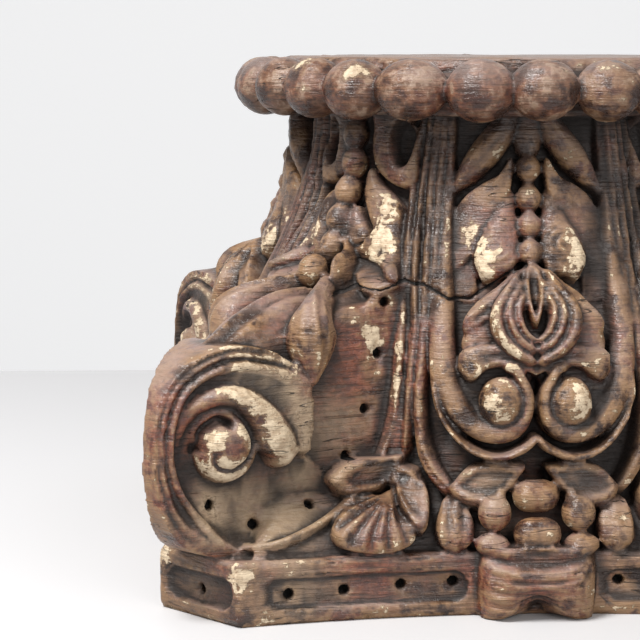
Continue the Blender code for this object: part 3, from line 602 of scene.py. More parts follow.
    def grain_lines(t, x, z):
        return 0.6 * np.cos(np.hypot(x - 2.5, z + 3.0) * 2 * math.pi / 4.2) * step(0.98, 0.7, t)
    pile.octants(*petal([(4.5, 211), (3.2, 199), (2.5, 186), (2.5, 176), (3.3, 169.5), (6.4, 165.5), (9.7, 163.5), (11.3, 167), (12.7, 175), (10.9, 187), (8.0, 199)],
                        8.0, 13.5, grain_lines, power=2.2, centre=(7.0, 183)))
    pile.octants(*petal([(19.2, 164), (13.2, 174.5), (11.8, 159), (12.3, 155), (16.8, 156.5)], 2.5, 3.5, tilt=(0.15, 0.12)))

    # berry strings: the corner ones lean one way, as a hand-carved row does
    for k in range(4):
        c, s = math.cos(k * math.pi / 2), math.sin(k * math.pi / 2)
        turn = np.array([[c, -s, 0], [s, c, 0], [0, 0, 1]])
        for p, z, h, r in ((49.0, 249, 5.0, 0.0060), (48.8, 238, 6.5, 0.0076), (48.2, 223, 7.0, 0.0080), (48.8, 207, 7.5, 0.0084), (49.0, 191, 8.0, 0.0088), (48.4, 176, 9.0, 0.0082),
                           (46.6, 161.5, 9.0, 0.0090)):
            at, n = on_ground(90 - p, z * 1e-3, h * 1e-3)
            at, n = np.array([at[1], at[0], at[2]]), np.array([n[1], n[0], n[2]])
            v, f = ball(at, (r * 0.84, r * 1.06, r * 0.95), n)
            pile.add(v @ turn.T, f)
    pile.octants(*blade([(0.0, 232, 5, 3.4, 5), (0.0, 206, 5, 3.6, 6), (0.0, 180, 6, 3.6, 6), (0.0, 152, 8, 3.4, 7)], count=40, around=16), on_axis=True)
    for z, h in ((222, 7.5), (206, 7), (191, 7.5), (177, 8.5), (165, 9), (155, 9.5)):
        c, n = on_ground(0.0, z * 1e-3, h * 1e-3)
        pile.octants(*ball(c, (0.0066, 0.0072, 0.0072), n), on_axis=True)

    # streaked bud that hangs over the horn's shoulder beside the volute
    def streaks(u, t):
        return (1.0 - 0.30 * u * u) * (1 + 0.10 * np.cos(u * 11.0 + 0.6) * (1 - 0.5 * t))
    pile.octants(*blade([(44.2, 162.5, 1, 2.6, 6), (42.0, 159.5, 1.5, 3.6, 7), (39.2, 155.5, 2.5, 5.5, 9), (37.2, 150, 3, 8.6, 10.5), (36.8, 145, 3, 11.6, 11.5),
                         (36.9, 140.5, 3, 13.0, 11), (36.9, 134.5, 3, 12.2, 10), (37.0, 127.5, 3, 9.4, 8.5), (37.0, 119.5, 2.5, 5.0, 6.5), (37.1, 115, 2, 2.4, 5)],
                        streaks, count=80, around=56, taper=0.05))

    # leaf with a midrib on the horn's back
    rows = spline([(0.150, 0.1380, 8), (0.160, 0.1405, 12), (0.172, 0.1420, 17), (0.186, 0.1408, 20), (0.204, 0.1348, 20), (0.218, 0.1270, 17),
                   (0.2345, 0.1190, 11), (0.246, 0.1140, 5)], 54)
    pts = np.stack([-rows[:, 0] / math.sqrt(2), -rows[:, 0] / math.sqrt(2), rows[:, 1]], 1)
    tan = np.gradient(pts, axis=0)
    nor = np.cross(tan, np.array([1, -1, 0]) / math.sqrt(2))
    nor *= np.sign(nor[:, 2:3])
    nor /= np.linalg.norm(nor, axis=1, keepdims=True)
    v, f = skin(pts, nor, rows[:, 2] * 1e-3, np.full(54, 0.0185), np.full(54, 0.020),
                lambda u, t: 0.98 - 0.16 * np.abs(u) + 0.06 * np.exp(-(u / 0.08) ** 2) + 0.05 * np.cos(np.arcsin(np.clip(u, -1, 1)) * 11 + 0.4), 96, 0.16)
    pile.octants(v, f, on_axis=True)

    # leaves, fan, dished leaf and berries under the scrolls
    def dished(t, x, z):
        return -1.5 * step(0.90, 0.70, t) + 0.8 * step(0.30, 0.0, t)
    pile.octants(*petal([(35.8, 65.8), (35.0, 73.0), (33.5, 76.2), (31.2, 77.0), (27.6, 77.2), (24.4, 76.6), (25.0, 69.8), (26.2, 62), (27.5, 57.0), (30.0, 54.2), (32.8, 54.8), (34.5, 57.4)],
                        11.0, 14.5, dished, power=3.4, centre=(30.2, 66), scale=1.0))
    pile.octants(*petal([(24.2, 72.6), (22.2, 71.0), (20.9, 65), (20.0, 59.4), (19.2, 54), (18.8, 48), (18.8, 43), (19.4, 39.4), (20.9, 40.6), (22.4, 44.6), (24.0, 49.4), (25.2, 55.4), (25.4, 61), (25.0, 68)],
                        11.5, 15.6, dished, power=3.4, centre=(22.2, 56.5), scale=0.98))

    def ribs_fan(t, x, z):
        ang = np.degrees(np.arctan2(-(z - 9.0), x + 1.5))
        far = np.hypot(x + 1.5, z - 9.0)
        return 1.7 * np.cos(ang * 2 * math.pi / 23.0) * step(2, 8, far) * step(1.0, 0.86, t)
    pile.octants(*petal([(25.8, 55.0), (28.0, 53.0), (30.8, 52.8), (32.0, 49.0), (31.8, 43.4), (31.0, 39.4), (30.0, 36.4), (28.0, 34.4), (25.5, 33.6), (23.0, 34.2), (21.0, 36.6),
                         (20.5, 39.4), (22.0, 42.6), (24.0, 47.4)], 7.5, 12.4, ribs_fan, power=2.4, centre=(26.2, 44.5), scale=1.0))
    c, n = on_ground(25.3, 0.0600, 0.0070)
    pile.octants(*ball(c, (0.0055, 0.0065, 0.0085), n))

    def dish(t, x, z):
        return -1.9 * step(0.84, 0.62, t)
    pile.octants(*petal([(15.4, 56), (14.6, 64), (13.2, 70.5), (11.2, 74.5), (8.0, 76.4), (5.0, 76.2), (1.8, 74.8), (3.0, 69), (4.8, 59), (7.6, 51), (11.0, 49.8), (13.6, 51.6)],
                        12.0, 17.5, dish, power=3.6, centre=(9.0, 63.6)))
    pile.octants(*petal([(16.4, 54), (17.3, 47), (17.3, 41.5), (16.6, 36), (14.5, 33), (12.5, 34.5), (11.2, 38.5), (11.0, 43.5), (12.2, 49.5), (14.2, 54)],
                        6.0, 11.5, lambda t, x, z: 0.9 * np.cos(x * 2 * math.pi / 7.0), power=2.3))
    for p, z, h, ra, rb in ((7.5, 46.5, 12.5, 0.0086, 0.0094), (8.1, 36.5, 10.0, 0.0088, 0.0058)):
        c, n = on_ground(p, z * 1e-3, h * 1e-3)
        pile.octants(*ball(c, (ra, rb, 0.0085), n))
    c, n = on_ground(6.4, 0.0535, 0.0125)
    pile.octants(*ball(c, (0.0030, 0.0050, 0.0060), n))
    for z, ra in ((55.5, 0.0095), (40.0, 0.0098)):
        c, n = on_ground(0.9, z * 1e-3, 0.0120)
        pile.octants(*ball(c, (ra, 0.0086, 0.0090), n))


# ------------------------------------------------------------- build the mesh
def evaluate(obj):
    graph = bpy.context.evaluated_depsgraph_get()
    mesh = bpy.data.meshes.new_from_object(obj.evaluated_get(graph))
    old = obj.data
    obj.modifiers.clear()
    obj.data = mesh
    bpy.data.meshes.remove(old)


def coords(mesh):
    v = np.empty(len(mesh.vertices) * 3, np.float32)
    mesh.vertices.foreach_get("co", v)
    return v.reshape(-1, 3).astype(np.float64)


def normals(mesh):
    n = np.empty(len(mesh.vertices) * 3, np.float32)
    mesh.vertices.foreach_get("normal", n)
    return n.reshape(-1, 3).astype(np.float64)


def keep_largest(mesh):
    ne = len(mesh.edges)
    e = np.empty(ne * 2, np.int32)
    mesh.edges.foreach_get("vertices", e)
    e = e.reshape(-1, 2)
    n = len(mesh.vertices)
    label = np.arange(n)
    while True:
        low = np.minimum(label[e[:, 0]], label[e[:, 1]])
        new = label.copy()
        np.minimum.at(new, e[:, 0], low)
        np.minimum.at(new, e[:, 1], low)
        new = new[new]
        new = new[new]
        if (new == label).all():
            break
        label = new
    values, counts = np.unique(label, return_counts=True)
    if len(values) == 1:
        return
    main = values[counts.argmax()]
    bm = bmesh.new()
    bm.from_mesh(mesh)
    bm.verts.ensure_lookup_table()
    drop = [bm.verts[i] for i in np.nonzero(label != main)[0]]
    bmesh.ops.delete(bm, geom=drop, context="VERTS")
    bm.to_mesh(mesh)
    bm.free()


pile = Pile()
body_mesh(pile)
ring_and_disc(pile)
boss(pile)
volute(pile)
ornament(pile)
mesh = pile.mesh("capital_carving")
carving = bpy.data.objects.new("capital_carving", mesh)
bpy.context.scene.collection.objects.link(carving)
print("pile", len(mesh.vertices), len(mesh.polygons), round(time.time() - T0, 1))

union = carving.modifiers.new("union", "REMESH")
union.mode = "VOXEL"
union.voxel_size = VOXEL
evaluate(carving)
keep_largest(carving.data)
print("union", len(carving.data.vertices), round(time.time() - T0, 1))

# drilled fixing holes: point on the surface and outward direction
SIDE_HOLES = [(-165.6, -176.5, 59.8, 0.43, -0.90, 0.0), (-142.8, -168.0, 47.8, 0.25, -0.93, 0.25), (-114.1, -156.1, 55.4, 0.33, -0.80, 0.45),
              (-95.0, -143.2, 77.2, 0.41, -0.91, 0.1), (-74.5, -133.3, 155.6, 0.41, -0.91, 0.0), (-78.1, -135.1, 129.1, 0.43, -0.90, 0.0),
              (-84.9, -138.3, 100.7, 0.43, -0.90, 0.0), (-125.2, -183.2, 15.2, 0.22, -0.97, 0.0), (-97.5, -177.5, 15.7, 0.18, -0.98, 0.0),
              (-68.5, -172.9, 17.0, 0.13, -0.99, 0.0), (-42.0, -170.1, 17.8, 0.07, -1.0, 0.0)]
CORNER_HOLE = (-169.0, -169.0, 14.6, -0.7071, -0.7071, 0.0)
HOLE_R = 0.0026
HOLE_DEEP = 0.0075


def all_holes():
    out = []
    for k in range(4):
        c, s = math.cos(k * math.pi / 2), math.sin(k * math.pi / 2)
        for m in (1, -1):
            for x, y, z, a, b, d in SIDE_HOLES + ([CORNER_HOLE] if m == 1 else []):
                x, a = x * m, a * m
                out.append((np.array([x * c - y * s, x * s + y * c, z]) * 1e-3, np.array([a * c - b * s, a * s + b * c, d])))
    return out


HOLES = all_holes()


def hole_distance(v):
    """Distance in m from the axis of the nearest drilled hole, for points near its mouth."""
    best = np.full(len(v), 1.0)
    for at, n in HOLES:
        n = n / np.linalg.norm(n)
        near = np.nonzero(np.abs(v - at).max(1) < 0.014)[0]
        if len(near):
            w = v[near] - at
            along = w @ n
            off = np.linalg.norm(w - along[:, None] * n, axis=1)
            best[near] = np.minimum(best[near], np.where(np.abs(along) < 0.009, off, 1.0))
    return best


def angles(v):
    p = np.degrees(np.arctan2(-v[:, 0], -v[:, 1]))
    return p, np.abs((p + 45) % 90 - 45)


def thin(obj, may_go, count):
    """Decimates the vertices in may_go until the whole mesh has count triangles."""
    mesh = obj.data
    tris = len(mesh.loops) - 2 * len(mesh.polygons)
    group = obj.vertex_groups.new(name="thin")
    group.add(np.nonzero(may_go)[0].tolist(), 1.0, "REPLACE")
    m = obj.modifiers.new("thin", "DECIMATE")
    m.ratio = min(1.0, count / tris)
    if not may_go.all():
        m.vertex_group = "thin"
        m.vertex_group_factor = 1.0
    evaluate(obj)
    obj.vertex_groups.clear()


def fine_zone(v):
    p, folded = angles(v)
    return ((p > -7) & (p < 80) & (v[:, 2] > 0.0006) & (v[:, 2] < 0.2794)) | (hole_distance(v) < 0.0045)


# the hidden sides are plainer: thin them first, then work the front and the near corner
v = coords(carving.data)
zone = fine_zone(v)
e = np.empty(len(carving.data.loops), np.int32)
carving.data.loops.foreach_get("vertex_index", e)
quads = zone[e.reshape(-1, 4)].any(1).sum() if len(e) == 4 * len(carving.data.polygons) else int(len(carving.data.polygons) * zone.mean())
thin(carving, ~zone, int(quads * 2 + TRIANGLES * 0.30))
print("hidden sides", len(carving.data.polygons), round(time.time() - T0, 1))


def neighbour_mean(mesh, values, times):
    ne = len(mesh.edges)
    e = np.empty(ne * 2, np.int32)
    mesh.edges.foreach_get("vertices", e)
    a, b = e[0::2], e[1::2]
    count = np.bincount(e, minlength=len(values)).astype(float)
    for _ in range(times):
        cols = []
        for k in range(values.shape[1]):
            c = values[:, k]
            cols.append((np.bincount(a, c[b], len(values)) + np.bincount(b, c[a], len(values))) / count)
        values = np.stack(cols, 1)
    return values


CRACK = [(-100, 159.0), (-96, 159.5), (-88, 162.4), (-76, 161.8), (-68, 165.0), (-64, 166.4), (-61, 164.8), (-55, 164.6), (-50, 161.8),
         (-41, 157.4), (-31, 157.0), (-18, 165.5), (-11, 171.5), (0, 177.0)]


def crack_offset(v):
    """Height in mm above the long drying crack that crosses the front, and how open it is there."""
    x, z = v[:, 0] * 1e3, v[:, 2] * 1e3
    c = np.array(CRACK)
    d = z - np.interp(x, c[:, 0], c[:, 1])
    open_mm = np.interp(x, [-104, -98, -70, -62, -50, -34, -12, 2], [0, 0.5, 0.6, 0.9, 0.8, 0.7, 0.6, 0])
    return d, np.where(v[:, 1] < -0.08, open_mm, 0.0)


v, n = coords(carving.data), normals(carving.data)
p, folded = angles(v)
side = step(-30, -8, p) * step(110, 80, p)            # 1 where the photographed side is
mean = neighbour_mean(carving.data, v, 3)
bulge = ((v - mean) * n).sum(1)                       # above zero on edges and crowns
move = 0.45e-3 * fbm(v * 38, 2, 1) + 0.10e-3 * fbm(v * 110, 1, 5)
flat_end = (v[:, 2] < 0.0012) | ((v[:, 2] > 0.2788) & (np.hypot(v[:, 0], v[:, 1]) < 0.119))
chip = step(0.10, 0.42, fbm(v * 95, 2, 21)) * step(0.00006, 0.00030, bulge)
move -= 0.75e-3 * chip
slab_edge = (v[:, 2] < 0.0345) * step(0.00004, 0.00025, bulge)
move -= 1.1e-3 * slab_edge * step(0.0, 0.5, fbm(v * 60, 3, 31))
d, wide = crack_offset(v)
move -= 1.8e-3 * np.exp(-(d / 0.85) ** 2) * (wide > 0.2)
rim = (v[:, 2] > 0.270) & (np.hypot(v[:, 0], v[:, 1]) > 0.1195) & (np.hypot(v[:, 0], v[:, 1]) < 0.1262)
move -= rim * 1.4e-3 * np.abs(fbm(np.stack([v[:, 0] * 90, v[:, 1] * 90, v[:, 2] * 500], 1), 2, 41))
move = np.where(flat_end, 0.0, move)
v = v + n * move[:, None]
for at, axis in HOLES:
    axis = axis / np.linalg.norm(axis)
    near = np.nonzero(np.abs(v - at).max(1) < 0.012)[0]
    if len(near):
        w = v[near] - at
        along = w @ axis
        off = np.linalg.norm(w - along[:, None] * axis, axis=1)
        push = HOLE_DEEP * step(HOLE_R * 1.15, HOLE_R * 0.75, off) * (np.abs(along) < 0.007)
        v[near] -= axis * push[:, None]
v[:, 2] = np.clip(v[:, 2], 0.0, HEIGHT)
carving.data.vertices.foreach_set("co", v.astype(np.float32).ravel())
carving.data.update()
print("worked", len(v), round(time.time() - T0, 1))

thin(carving, fine_zone(v), int(TRIANGLES * 1.02))
print("front", len(carving.data.polygons), round(time.time() - T0, 1))
for poly in carving.data.polygons:
    poly.use_smooth = True

# ------------------------------------------------- where paint, gesso, dust and painted shade sit
v, n = coords(carving.data), normals(carving.data)
p, folded = angles(v)
side = step(-30, -8, p) * step(110, 80, p)
near_mean = neighbour_mean(carving.data, v, 4)
far_mean = neighbour_mean(carving.data, near_mean, 36)
size = np.sqrt(((near_mean - v) ** 2).sum(1))
pit = ((far_mean - v) * n).sum(1) * 1e3               # mm below (+) or above (-) the smoothed surface
pit = neighbour_mean(carving.data, pit[:, None], 1)[:, 0]
edge = ((v - near_mean) * n).sum(1) * 1e3 * np.where(v[:, 2] > 0.248, 0.5, 1.0)
# cavity and groove darken the colour below as painted shade; crown and sharp lighten it as wear, partly painted
# highlight
cavity = step(0.15, 2.2, pit)
crown = step(0.2, 2.2, -pit)
sharp = step(0.10, 0.50, edge)
groove = step(0.05, 0.36, -edge)


def attribute(name, values):
    a = carving.data.attributes.new(name, "FLOAT", "POINT")
    a.data.foreach_set("value", np.asarray(values, np.float32))


GESSO = [(-144, -183, 115, 7, 0.9), (-134, -179, 104, 8, 1.0), (-129, -177, 92, 8, 1.0), (-124, -173, 84, 6, 0.9), (-160, -182, 120, 7, 0.5), (-150, -182, 118, 7, 0.7),
         (-161, -191, 93, 7, 0.8), (-152, -184, 79, 7, 0.8), (-160, -187, 79, 7, 0.7), (-147, -184, 99, 6, 0.6), (-166, -184, 97, 6, 0.4),
         (-124, -165, 104, 10, 0.55), (-134, -169, 120, 9, 0.55), (-119, -163, 92, 9, 0.5), (-148, -174, 126, 8, 0.5),
         (-151, -178, 138, 7, 0.55), (-124, -166, 129, 7, 0.75), (-118, -162, 124, 6, 0.8), (-138, -173, 135, 7, 0.5),
         (-173, -180, 78, 9, 0.5), (-168, -178, 60, 8, 0.55), (-163, -175, 52, 7, 0.45), (-174, -182, 86, 7, 0.45),
         (-83, -137, 142, 8, 0.55), (-78, -135, 133, 7, 0.8), (-92, -141, 148, 6, 0.4),
         (-73, -104, 203, 7, 0.9), (-76, -108, 190, 8, 0.8), (-73, -112, 180, 9, 0.9), (-78, -110, 172, 8, 0.7),
         (-69, -138, 131, 5, 0.75), (-71, -140, 117, 5, 0.8), (-73, -141, 104, 5, 0.75), (-65, -130, 148, 6, 0.5), (-59, -145, 106, 5, 0.35),
         (-24, -171, 108, 8, 0.75), (-34, -162, 126, 8, 0.35), (-21, -161, 131, 9, 0.35), (-11, -167, 127, 7, 0.4), (-14, -166, 138, 6, 0.4), (-16, -161, 155, 6, 0.4),
         (-27, -162, 67, 8, 0.35), (-95, -168, 54, 5, 0.5), (-64, -175, 42, 5, 0.4), (-90, -155, 70, 5, 0.3),
         (-147, -191, 25, 6, 0.9), (-153, -187, 27, 6, 0.8), (-120, -182, 32, 7, 0.35), (-136, -187, 8, 8, 0.35),
         (-87, -116, 275, 7, 0.6), (-92, -118, 272, 4, 0.6), (-28, -129, 182, 11, 0.65), (-30, -124, 194, 9, 0.5), (-24, -137, 175, 9, 0.5), (-120, -150, 145, 6, 0.3)]
DUSTY = [(-120, -165, 104, 11, 0.9), (-131, -170, 120, 10, 0.8), (-146, -177, 124, 9, 0.6), (-164, -186, 52, 13, 0.8), (-142, -175, 50, 14, 0.9), (-122, -166, 56, 14, 0.8), (-117, -163, 80, 11, 0.5),
         (-150, -178, 55, 16, 0.8), (-132, -172, 54, 18, 0.9), (-118, -165, 66, 18, 0.8), (-112, -158, 85, 16, 0.6), (-105, -150, 100, 14, 0.45), (-168, -178, 66, 12, 0.6),
         (-125, -164, 112, 12, 0.7), (-140, -170, 124, 10, 0.6), (-95, -145, 90, 14, 0.5), (-26, -163, 64, 12, 0.7), (-120, -184, 17, 18, 0.5), (-170, -172, 15, 14, 0.4)]
RUDDY = [(-75, -133, 141, 10, 0.9), (-80, -135, 126, 12, 0.9), (-98, -143, 106, 14, 0.6), (-67, -143, 87, 9, 1.0), (-59, -144, 117, 8, 0.9), (-93, -156, 68, 8, 0.9),
         (-82, -172, 47, 12, 0.9), (-15, -186, 16, 16, 1.0), (-102, -180, 29, 10, 0.7), (-60, -178, 27, 12, 0.6), (-30, -150, 267, 12, 0.8), (-58, -139, 262, 11, 0.5), (-112, -99, 266, 10, 0.7),
         (-95, -116, 262, 8, 0.5), (-193, -194, 81, 14, 0.5), (-190, -195, 110, 16, 0.6), (-75, -134, 151, 8, 0.9), (-84, -139, 150, 7, 0.6), (-33, -161, 68, 8, 0.8), (-14, -173, 50, 10, 0.9),
         (-129, -155, 144, 9, 0.8), (-150, -185, 45, 10, 0.5), (-2, -170, 60, 9, 0.8), (-21, -170, 40, 9, 0.5)]


def patches(rows):
    """Sum of soft spots at (x, y, z) mm with a reach in mm and a strength, full on the near side, broken up elsewhere."""
    out = np.zeros(len(v))
    a = np.radians(folded)
    r = np.hypot(v[:, 0], v[:, 1])
    home = np.stack([-r * np.sin(a), -r * np.cos(a), v[:, 2]], 1) * 1e3
    here = (p > -1) & (p < 46)
    other = 0.35 + 0.55 * step(-0.3, 0.4, fbm(v * 22, 2, 61))
    for x, y, z, reach, k in rows:
        d2 = ((home - (x, y, z)) ** 2).sum(1) / reach ** 2
        out += k * np.exp(-d2) * np.where(here, 1.0, other)
    return out


gesso = patches(GESSO) if GESSO else np.zeros(len(v))
dusty = patches(DUSTY)
ruddy = (patches(RUDDY) if RUDDY else np.zeros(len(v))) + 0.55 * step(0.246, 0.252, v[:, 2])
attribute("cavity", cavity)
crown = crown * np.where(v[:, 2] > 0.248, 0.35, 1.0)
attribute("crown", crown)
attribute("sharp", sharp)
attribute("groove", groove)
attribute("gesso", gesso)
attribute("ruddy", ruddy)
attribute("near_side", side)
attribute("dusty", dusty)
attribute("beads", step(0.244, 0.250, v[:, 2]) * step(0.1200, 0.1240, np.hypot(v[:, 0], v[:, 1])))
attribute("raw_top", step(0.268, 0.272, v[:, 2]) * step(0.1235, 0.1195, np.hypot(v[:, 0], v[:, 1])))
# painted shade: the neck in the bead ring's overhang, the stem bundle and the beads
bundle = step(17.0, 20.5, folded) * step(31.5, 29.0, folded) * step(0.120, 0.190, v[:, 2]) * step(0.250, 0.246, v[:, 2])
attribute("painted_shade", 0.75 * bundle + (1 - bundle) * step(0.205, 0.246, v[:, 2]) * (1 - 0.62 * step(0.249, 0.253, v[:, 2])) * step(0.130, 0.122, np.hypot(v[:, 0], v[:, 1]) - 0.030 * (v[:, 2] > 0.249)))
d, wide = crack_offset(v)
attribute("crack_at", d)
attribute("crack_wide", wide)
attribute("hole", hole_distance(v) * 1e3)


# ------------------------------------------------------------------ material
def tone(r, g, b):
    return tuple((c / 12.92 if c <= 0.04045 else ((c + 0.055) / 1.055) ** 2.4) for c in (r / 255, g * 0.985 / 255, b * 0.955 / 255)) + (1.0,)


class Graph:
    def __init__(self, material):
        self.tree = material.node_tree
        self.shader = self.tree.nodes["Principled BSDF"]
        self.place = self.tree.nodes.new("ShaderNodeTexCoord").outputs["Object"]

    def put(self, socket, value):
        if isinstance(value, bpy.types.NodeSocket):
            self.tree.links.new(value, socket)
        else:
            socket.default_value = value

    def math(self, op, a, b=0.0, c=0.0, clamp=False):
        n = self.tree.nodes.new("ShaderNodeMath")
        n.operation = op
        n.use_clamp = clamp
        for i, value in enumerate((a, b, c)):
            self.put(n.inputs[i], value)
        return n.outputs[0]

    def ramp(self, x, low, high, out_low=0.0, out_high=1.0):
        n = self.tree.nodes.new("ShaderNodeMapRange")
        n.interpolation_type = "SMOOTHSTEP"
        for name, value in (("Value", x), ("From Min", low), ("From Max", high), ("To Min", out_low), ("To Max", out_high)):
            self.put(n.inputs[name], value)
        return n.outputs["Result"]

    def mix(self, fac, a, b):
        n = self.tree.nodes.new("ShaderNodeMix")
        n.data_type = "RGBA"
        self.put(n.inputs[0], fac)
        self.put(n.inputs[6], a)
        self.put(n.inputs[7], b)
        return n.outputs[2]

    def attr(self, name):
        n = self.tree.nodes.new("ShaderNodeAttribute")
        n.attribute_name = name
        return n.outputs["Fac"]

    def noise(self, scale, stretch=(1, 1, 1), detail=3.0, rough=0.55, offset=(0, 0, 0), twist=0.0):
        m = self.tree.nodes.new("ShaderNodeMapping")
        m.inputs["Scale"].default_value = stretch
        m.inputs["Location"].default_value = offset
        self.put(m.inputs["Vector"], self.place)
        n = self.tree.nodes.new("ShaderNodeTexNoise")
        self.put(n.inputs["Vector"], m.outputs[0])
        n.inputs["Scale"].default_value = scale
        n.inputs["Detail"].default_value = detail
        n.inputs["Roughness"].default_value = rough
        n.inputs["Distortion"].default_value = twist
        return n.outputs["Fac"]


wood = bpy.data.materials.new("worn_painted_wood")
wood.use_nodes = True
g = Graph(wood)
broad = g.noise(24, detail=3)
middle = g.noise(75, detail=4, offset=(3, 1, 7))
small = g.noise(230, detail=4, rough=0.6, offset=(9, 4, 2))
speck = g.noise(620, detail=2, offset=(1, 8, 5))
grain = g.noise(1.0, (40, 130, 620), detail=4, rough=0.6, twist=0.6)
grain_wide = g.noise(1.0, (14, 50, 190), detail=3, offset=(5, 5, 5), twist=0.8)
cavity_a, crown_a, sharp_a, groove_a = g.attr("cavity"), g.attr("crown"), g.attr("sharp"), g.attr("groove")

colour = g.mix(g.ramp(middle, 0.36, 0.64), tone(52, 37, 31), tone(96, 72, 58))
colour = g.mix(g.math("MULTIPLY", g.ramp(grain_wide, 0.50, 0.66), 0.45), colour, tone(128, 98, 74))
red = g.math("ADD", g.ramp(broad, 0.45, 0.60, 0.0, 0.80), g.math("MULTIPLY", g.attr("ruddy"), g.ramp(middle, 0.30, 0.55)), clamp=True)
colour = g.mix(g.math("MULTIPLY", red, 0.8), colour, g.mix(g.ramp(small, 0.40, 0.62), tone(96, 48, 38), tone(142, 82, 60)))
colour = g.mix(g.ramp(grain, 0.52, 0.38, 0.0, 0.65), colour, tone(44, 31, 26))
# bare and rubbed wood on crowns and edges, also painted highlight along the ridges
rub_and_highlight = g.math("ADD", g.math("MULTIPLY", crown_a, 0.45), g.math("MULTIPLY", sharp_a, 0.55))
rub_and_highlight = g.math("MULTIPLY", rub_and_highlight, g.ramp(g.math("ADD", middle, g.math("MULTIPLY", small, 0.5)), 0.62, 0.82))
colour = g.mix(rub_and_highlight, colour, tone(138, 108, 80))
# the beads are handled most: paint dark in patches, rubbed pale in others; the pale patches also stand in for painted
# sheen
worn = g.math("MULTIPLY", g.attr("beads"), g.ramp(middle, 0.53, 0.40, 0.0, 0.75))
colour = g.mix(worn, colour, tone(50, 33, 28))
# pale rubbed patches on the beads, partly painted sheen
worn = g.math("MULTIPLY", g.attr("beads"), g.ramp(g.math("ADD", middle, g.math("MULTIPLY", small, 0.6)), 0.84, 0.98, 0.0, 0.65))
colour = g.mix(worn, colour, tone(172, 150, 134))
# raw end disc, never painted
raw = g.attr("raw_top")
colour = g.mix(g.math("MULTIPLY", raw, 0.75), colour, g.mix(grain_wide, tone(84, 64, 52), tone(134, 108, 88)))
# gesso left on the raised parts; its share along sharp edges is painted highlight on the ridges
amount = g.math("ADD", g.math("MULTIPLY", g.math("MINIMUM", g.attr("gesso"), 1.1), 1.02), g.math("ADD", g.math("MULTIPLY", crown_a, 0.02), g.math("MULTIPLY", sharp_a, 0.30)))
amount = g.math("ADD", amount, g.math("MULTIPLY", g.math("SUBTRACT", middle, 0.5), 2.1))
amount = g.math("ADD", amount, g.math("MULTIPLY", g.math("SUBTRACT", small, 0.5), 1.5))
amount = g.math("ADD", amount, g.math("MULTIPLY", g.math("SUBTRACT", grain, 0.5), 0.8))
amount = g.math("SUBTRACT", amount, g.math("ADD", g.math("MULTIPLY", cavity_a, 0.35), g.math("MULTIPLY", groove_a, 0.8)))
amount = g.math("SUBTRACT", amount, g.math("MULTIPLY", raw, 0.9))
chalk = g.ramp(amount, 0.68, 0.76)
size_coat = g.ramp(amount, 0.46, 0.62)
colour = g.mix(g.math("MULTIPLY", size_coat, 0.48), colour, g.mix(small, tone(108, 82, 58), tone(148, 120, 88)))
cream = g.mix(g.ramp(small, 0.35, 0.65), tone(170, 150, 126), tone(212, 196, 172))
cream = g.mix(g.ramp(speck, 0.60, 0.70, 0.0, 0.7), cream, tone(120, 86, 60))
colour = g.mix(chalk, colour, cream)
# dust on what faces up
facing = g.tree.nodes.new("ShaderNodeSeparateXYZ")
geometry = g.tree.nodes.new("ShaderNodeNewGeometry")
g.put(facing.inputs[0], geometry.outputs["Normal"])
dust = g.math("MULTIPLY", g.ramp(facing.outputs["Z"], -0.15, 0.85), g.ramp(broad, 0.36, 0.60))
dust = g.math("MULTIPLY", dust, g.math("SUBTRACT", 1.0, chalk))
colour = g.mix(g.math("MULTIPLY", dust, 0.50), colour, tone(152, 136, 132))
colour = g.mix(g.math("MULTIPLY", g.attr("dusty"), g.ramp(middle, 0.32, 0.60, 0.40, 0.95), clamp=True), colour, g.mix(small, tone(124, 104, 86), tone(172, 152, 128)))
# painted shade: the neck under the bead ring, the stem bundle and the beads darkened, then the recesses and the fine
# grooves
colour = g.mix(g.math("MULTIPLY", g.attr("painted_shade"), 0.62), colour, tone(44, 32, 27))
# painted shade in the recesses, weaker where the dusty patches lie
clear = g.math("SUBTRACT", 0.60, g.math("MULTIPLY", g.math("MINIMUM", g.attr("dusty"), 1.0), 0.34))
colour = g.mix(g.math("MULTIPLY", cavity_a, clear), colour, tone(34, 25, 20))
# painted shade darkening the fine grooves and carved lines
colour = g.mix(g.math("MULTIPLY", groove_a, g.ramp(middle, 0.30, 0.55, 0.55, 0.9)), colour, tone(24, 17, 14))
# drying crack lines, and painted shade in the mouths of the drilled holes
wander = g.math("ADD", g.attr("crack_at"), g.math("MULTIPLY", g.math("SUBTRACT", small, 0.5), 2.4))
crack = g.ramp(g.math("ABSOLUTE", wander), g.attr("crack_wide"), g.math("MULTIPLY", g.attr("crack_wide"), 0.35))
crack = g.math("MULTIPLY", crack, g.math("GREATER_THAN", g.attr("crack_wide"), 0.05))
hair_field = g.noise(1.0, (9, 16, 150), detail=3, rough=0.5, offset=(2, 9, 4), twist=0.5)
hair = g.ramp(g.math("ABSOLUTE", g.math("SUBTRACT", hair_field, 0.5)), 0.0052, 0.0016)
hair = g.math("MULTIPLY", hair, g.ramp(g.noise(18, detail=2, offset=(6, 6, 1)), 0.50, 0.58))
cracks = g.math("MAXIMUM", crack, g.math("MULTIPLY", hair, g.math("SUBTRACT", 0.85, g.math("MULTIPLY", raw, 0.85))))
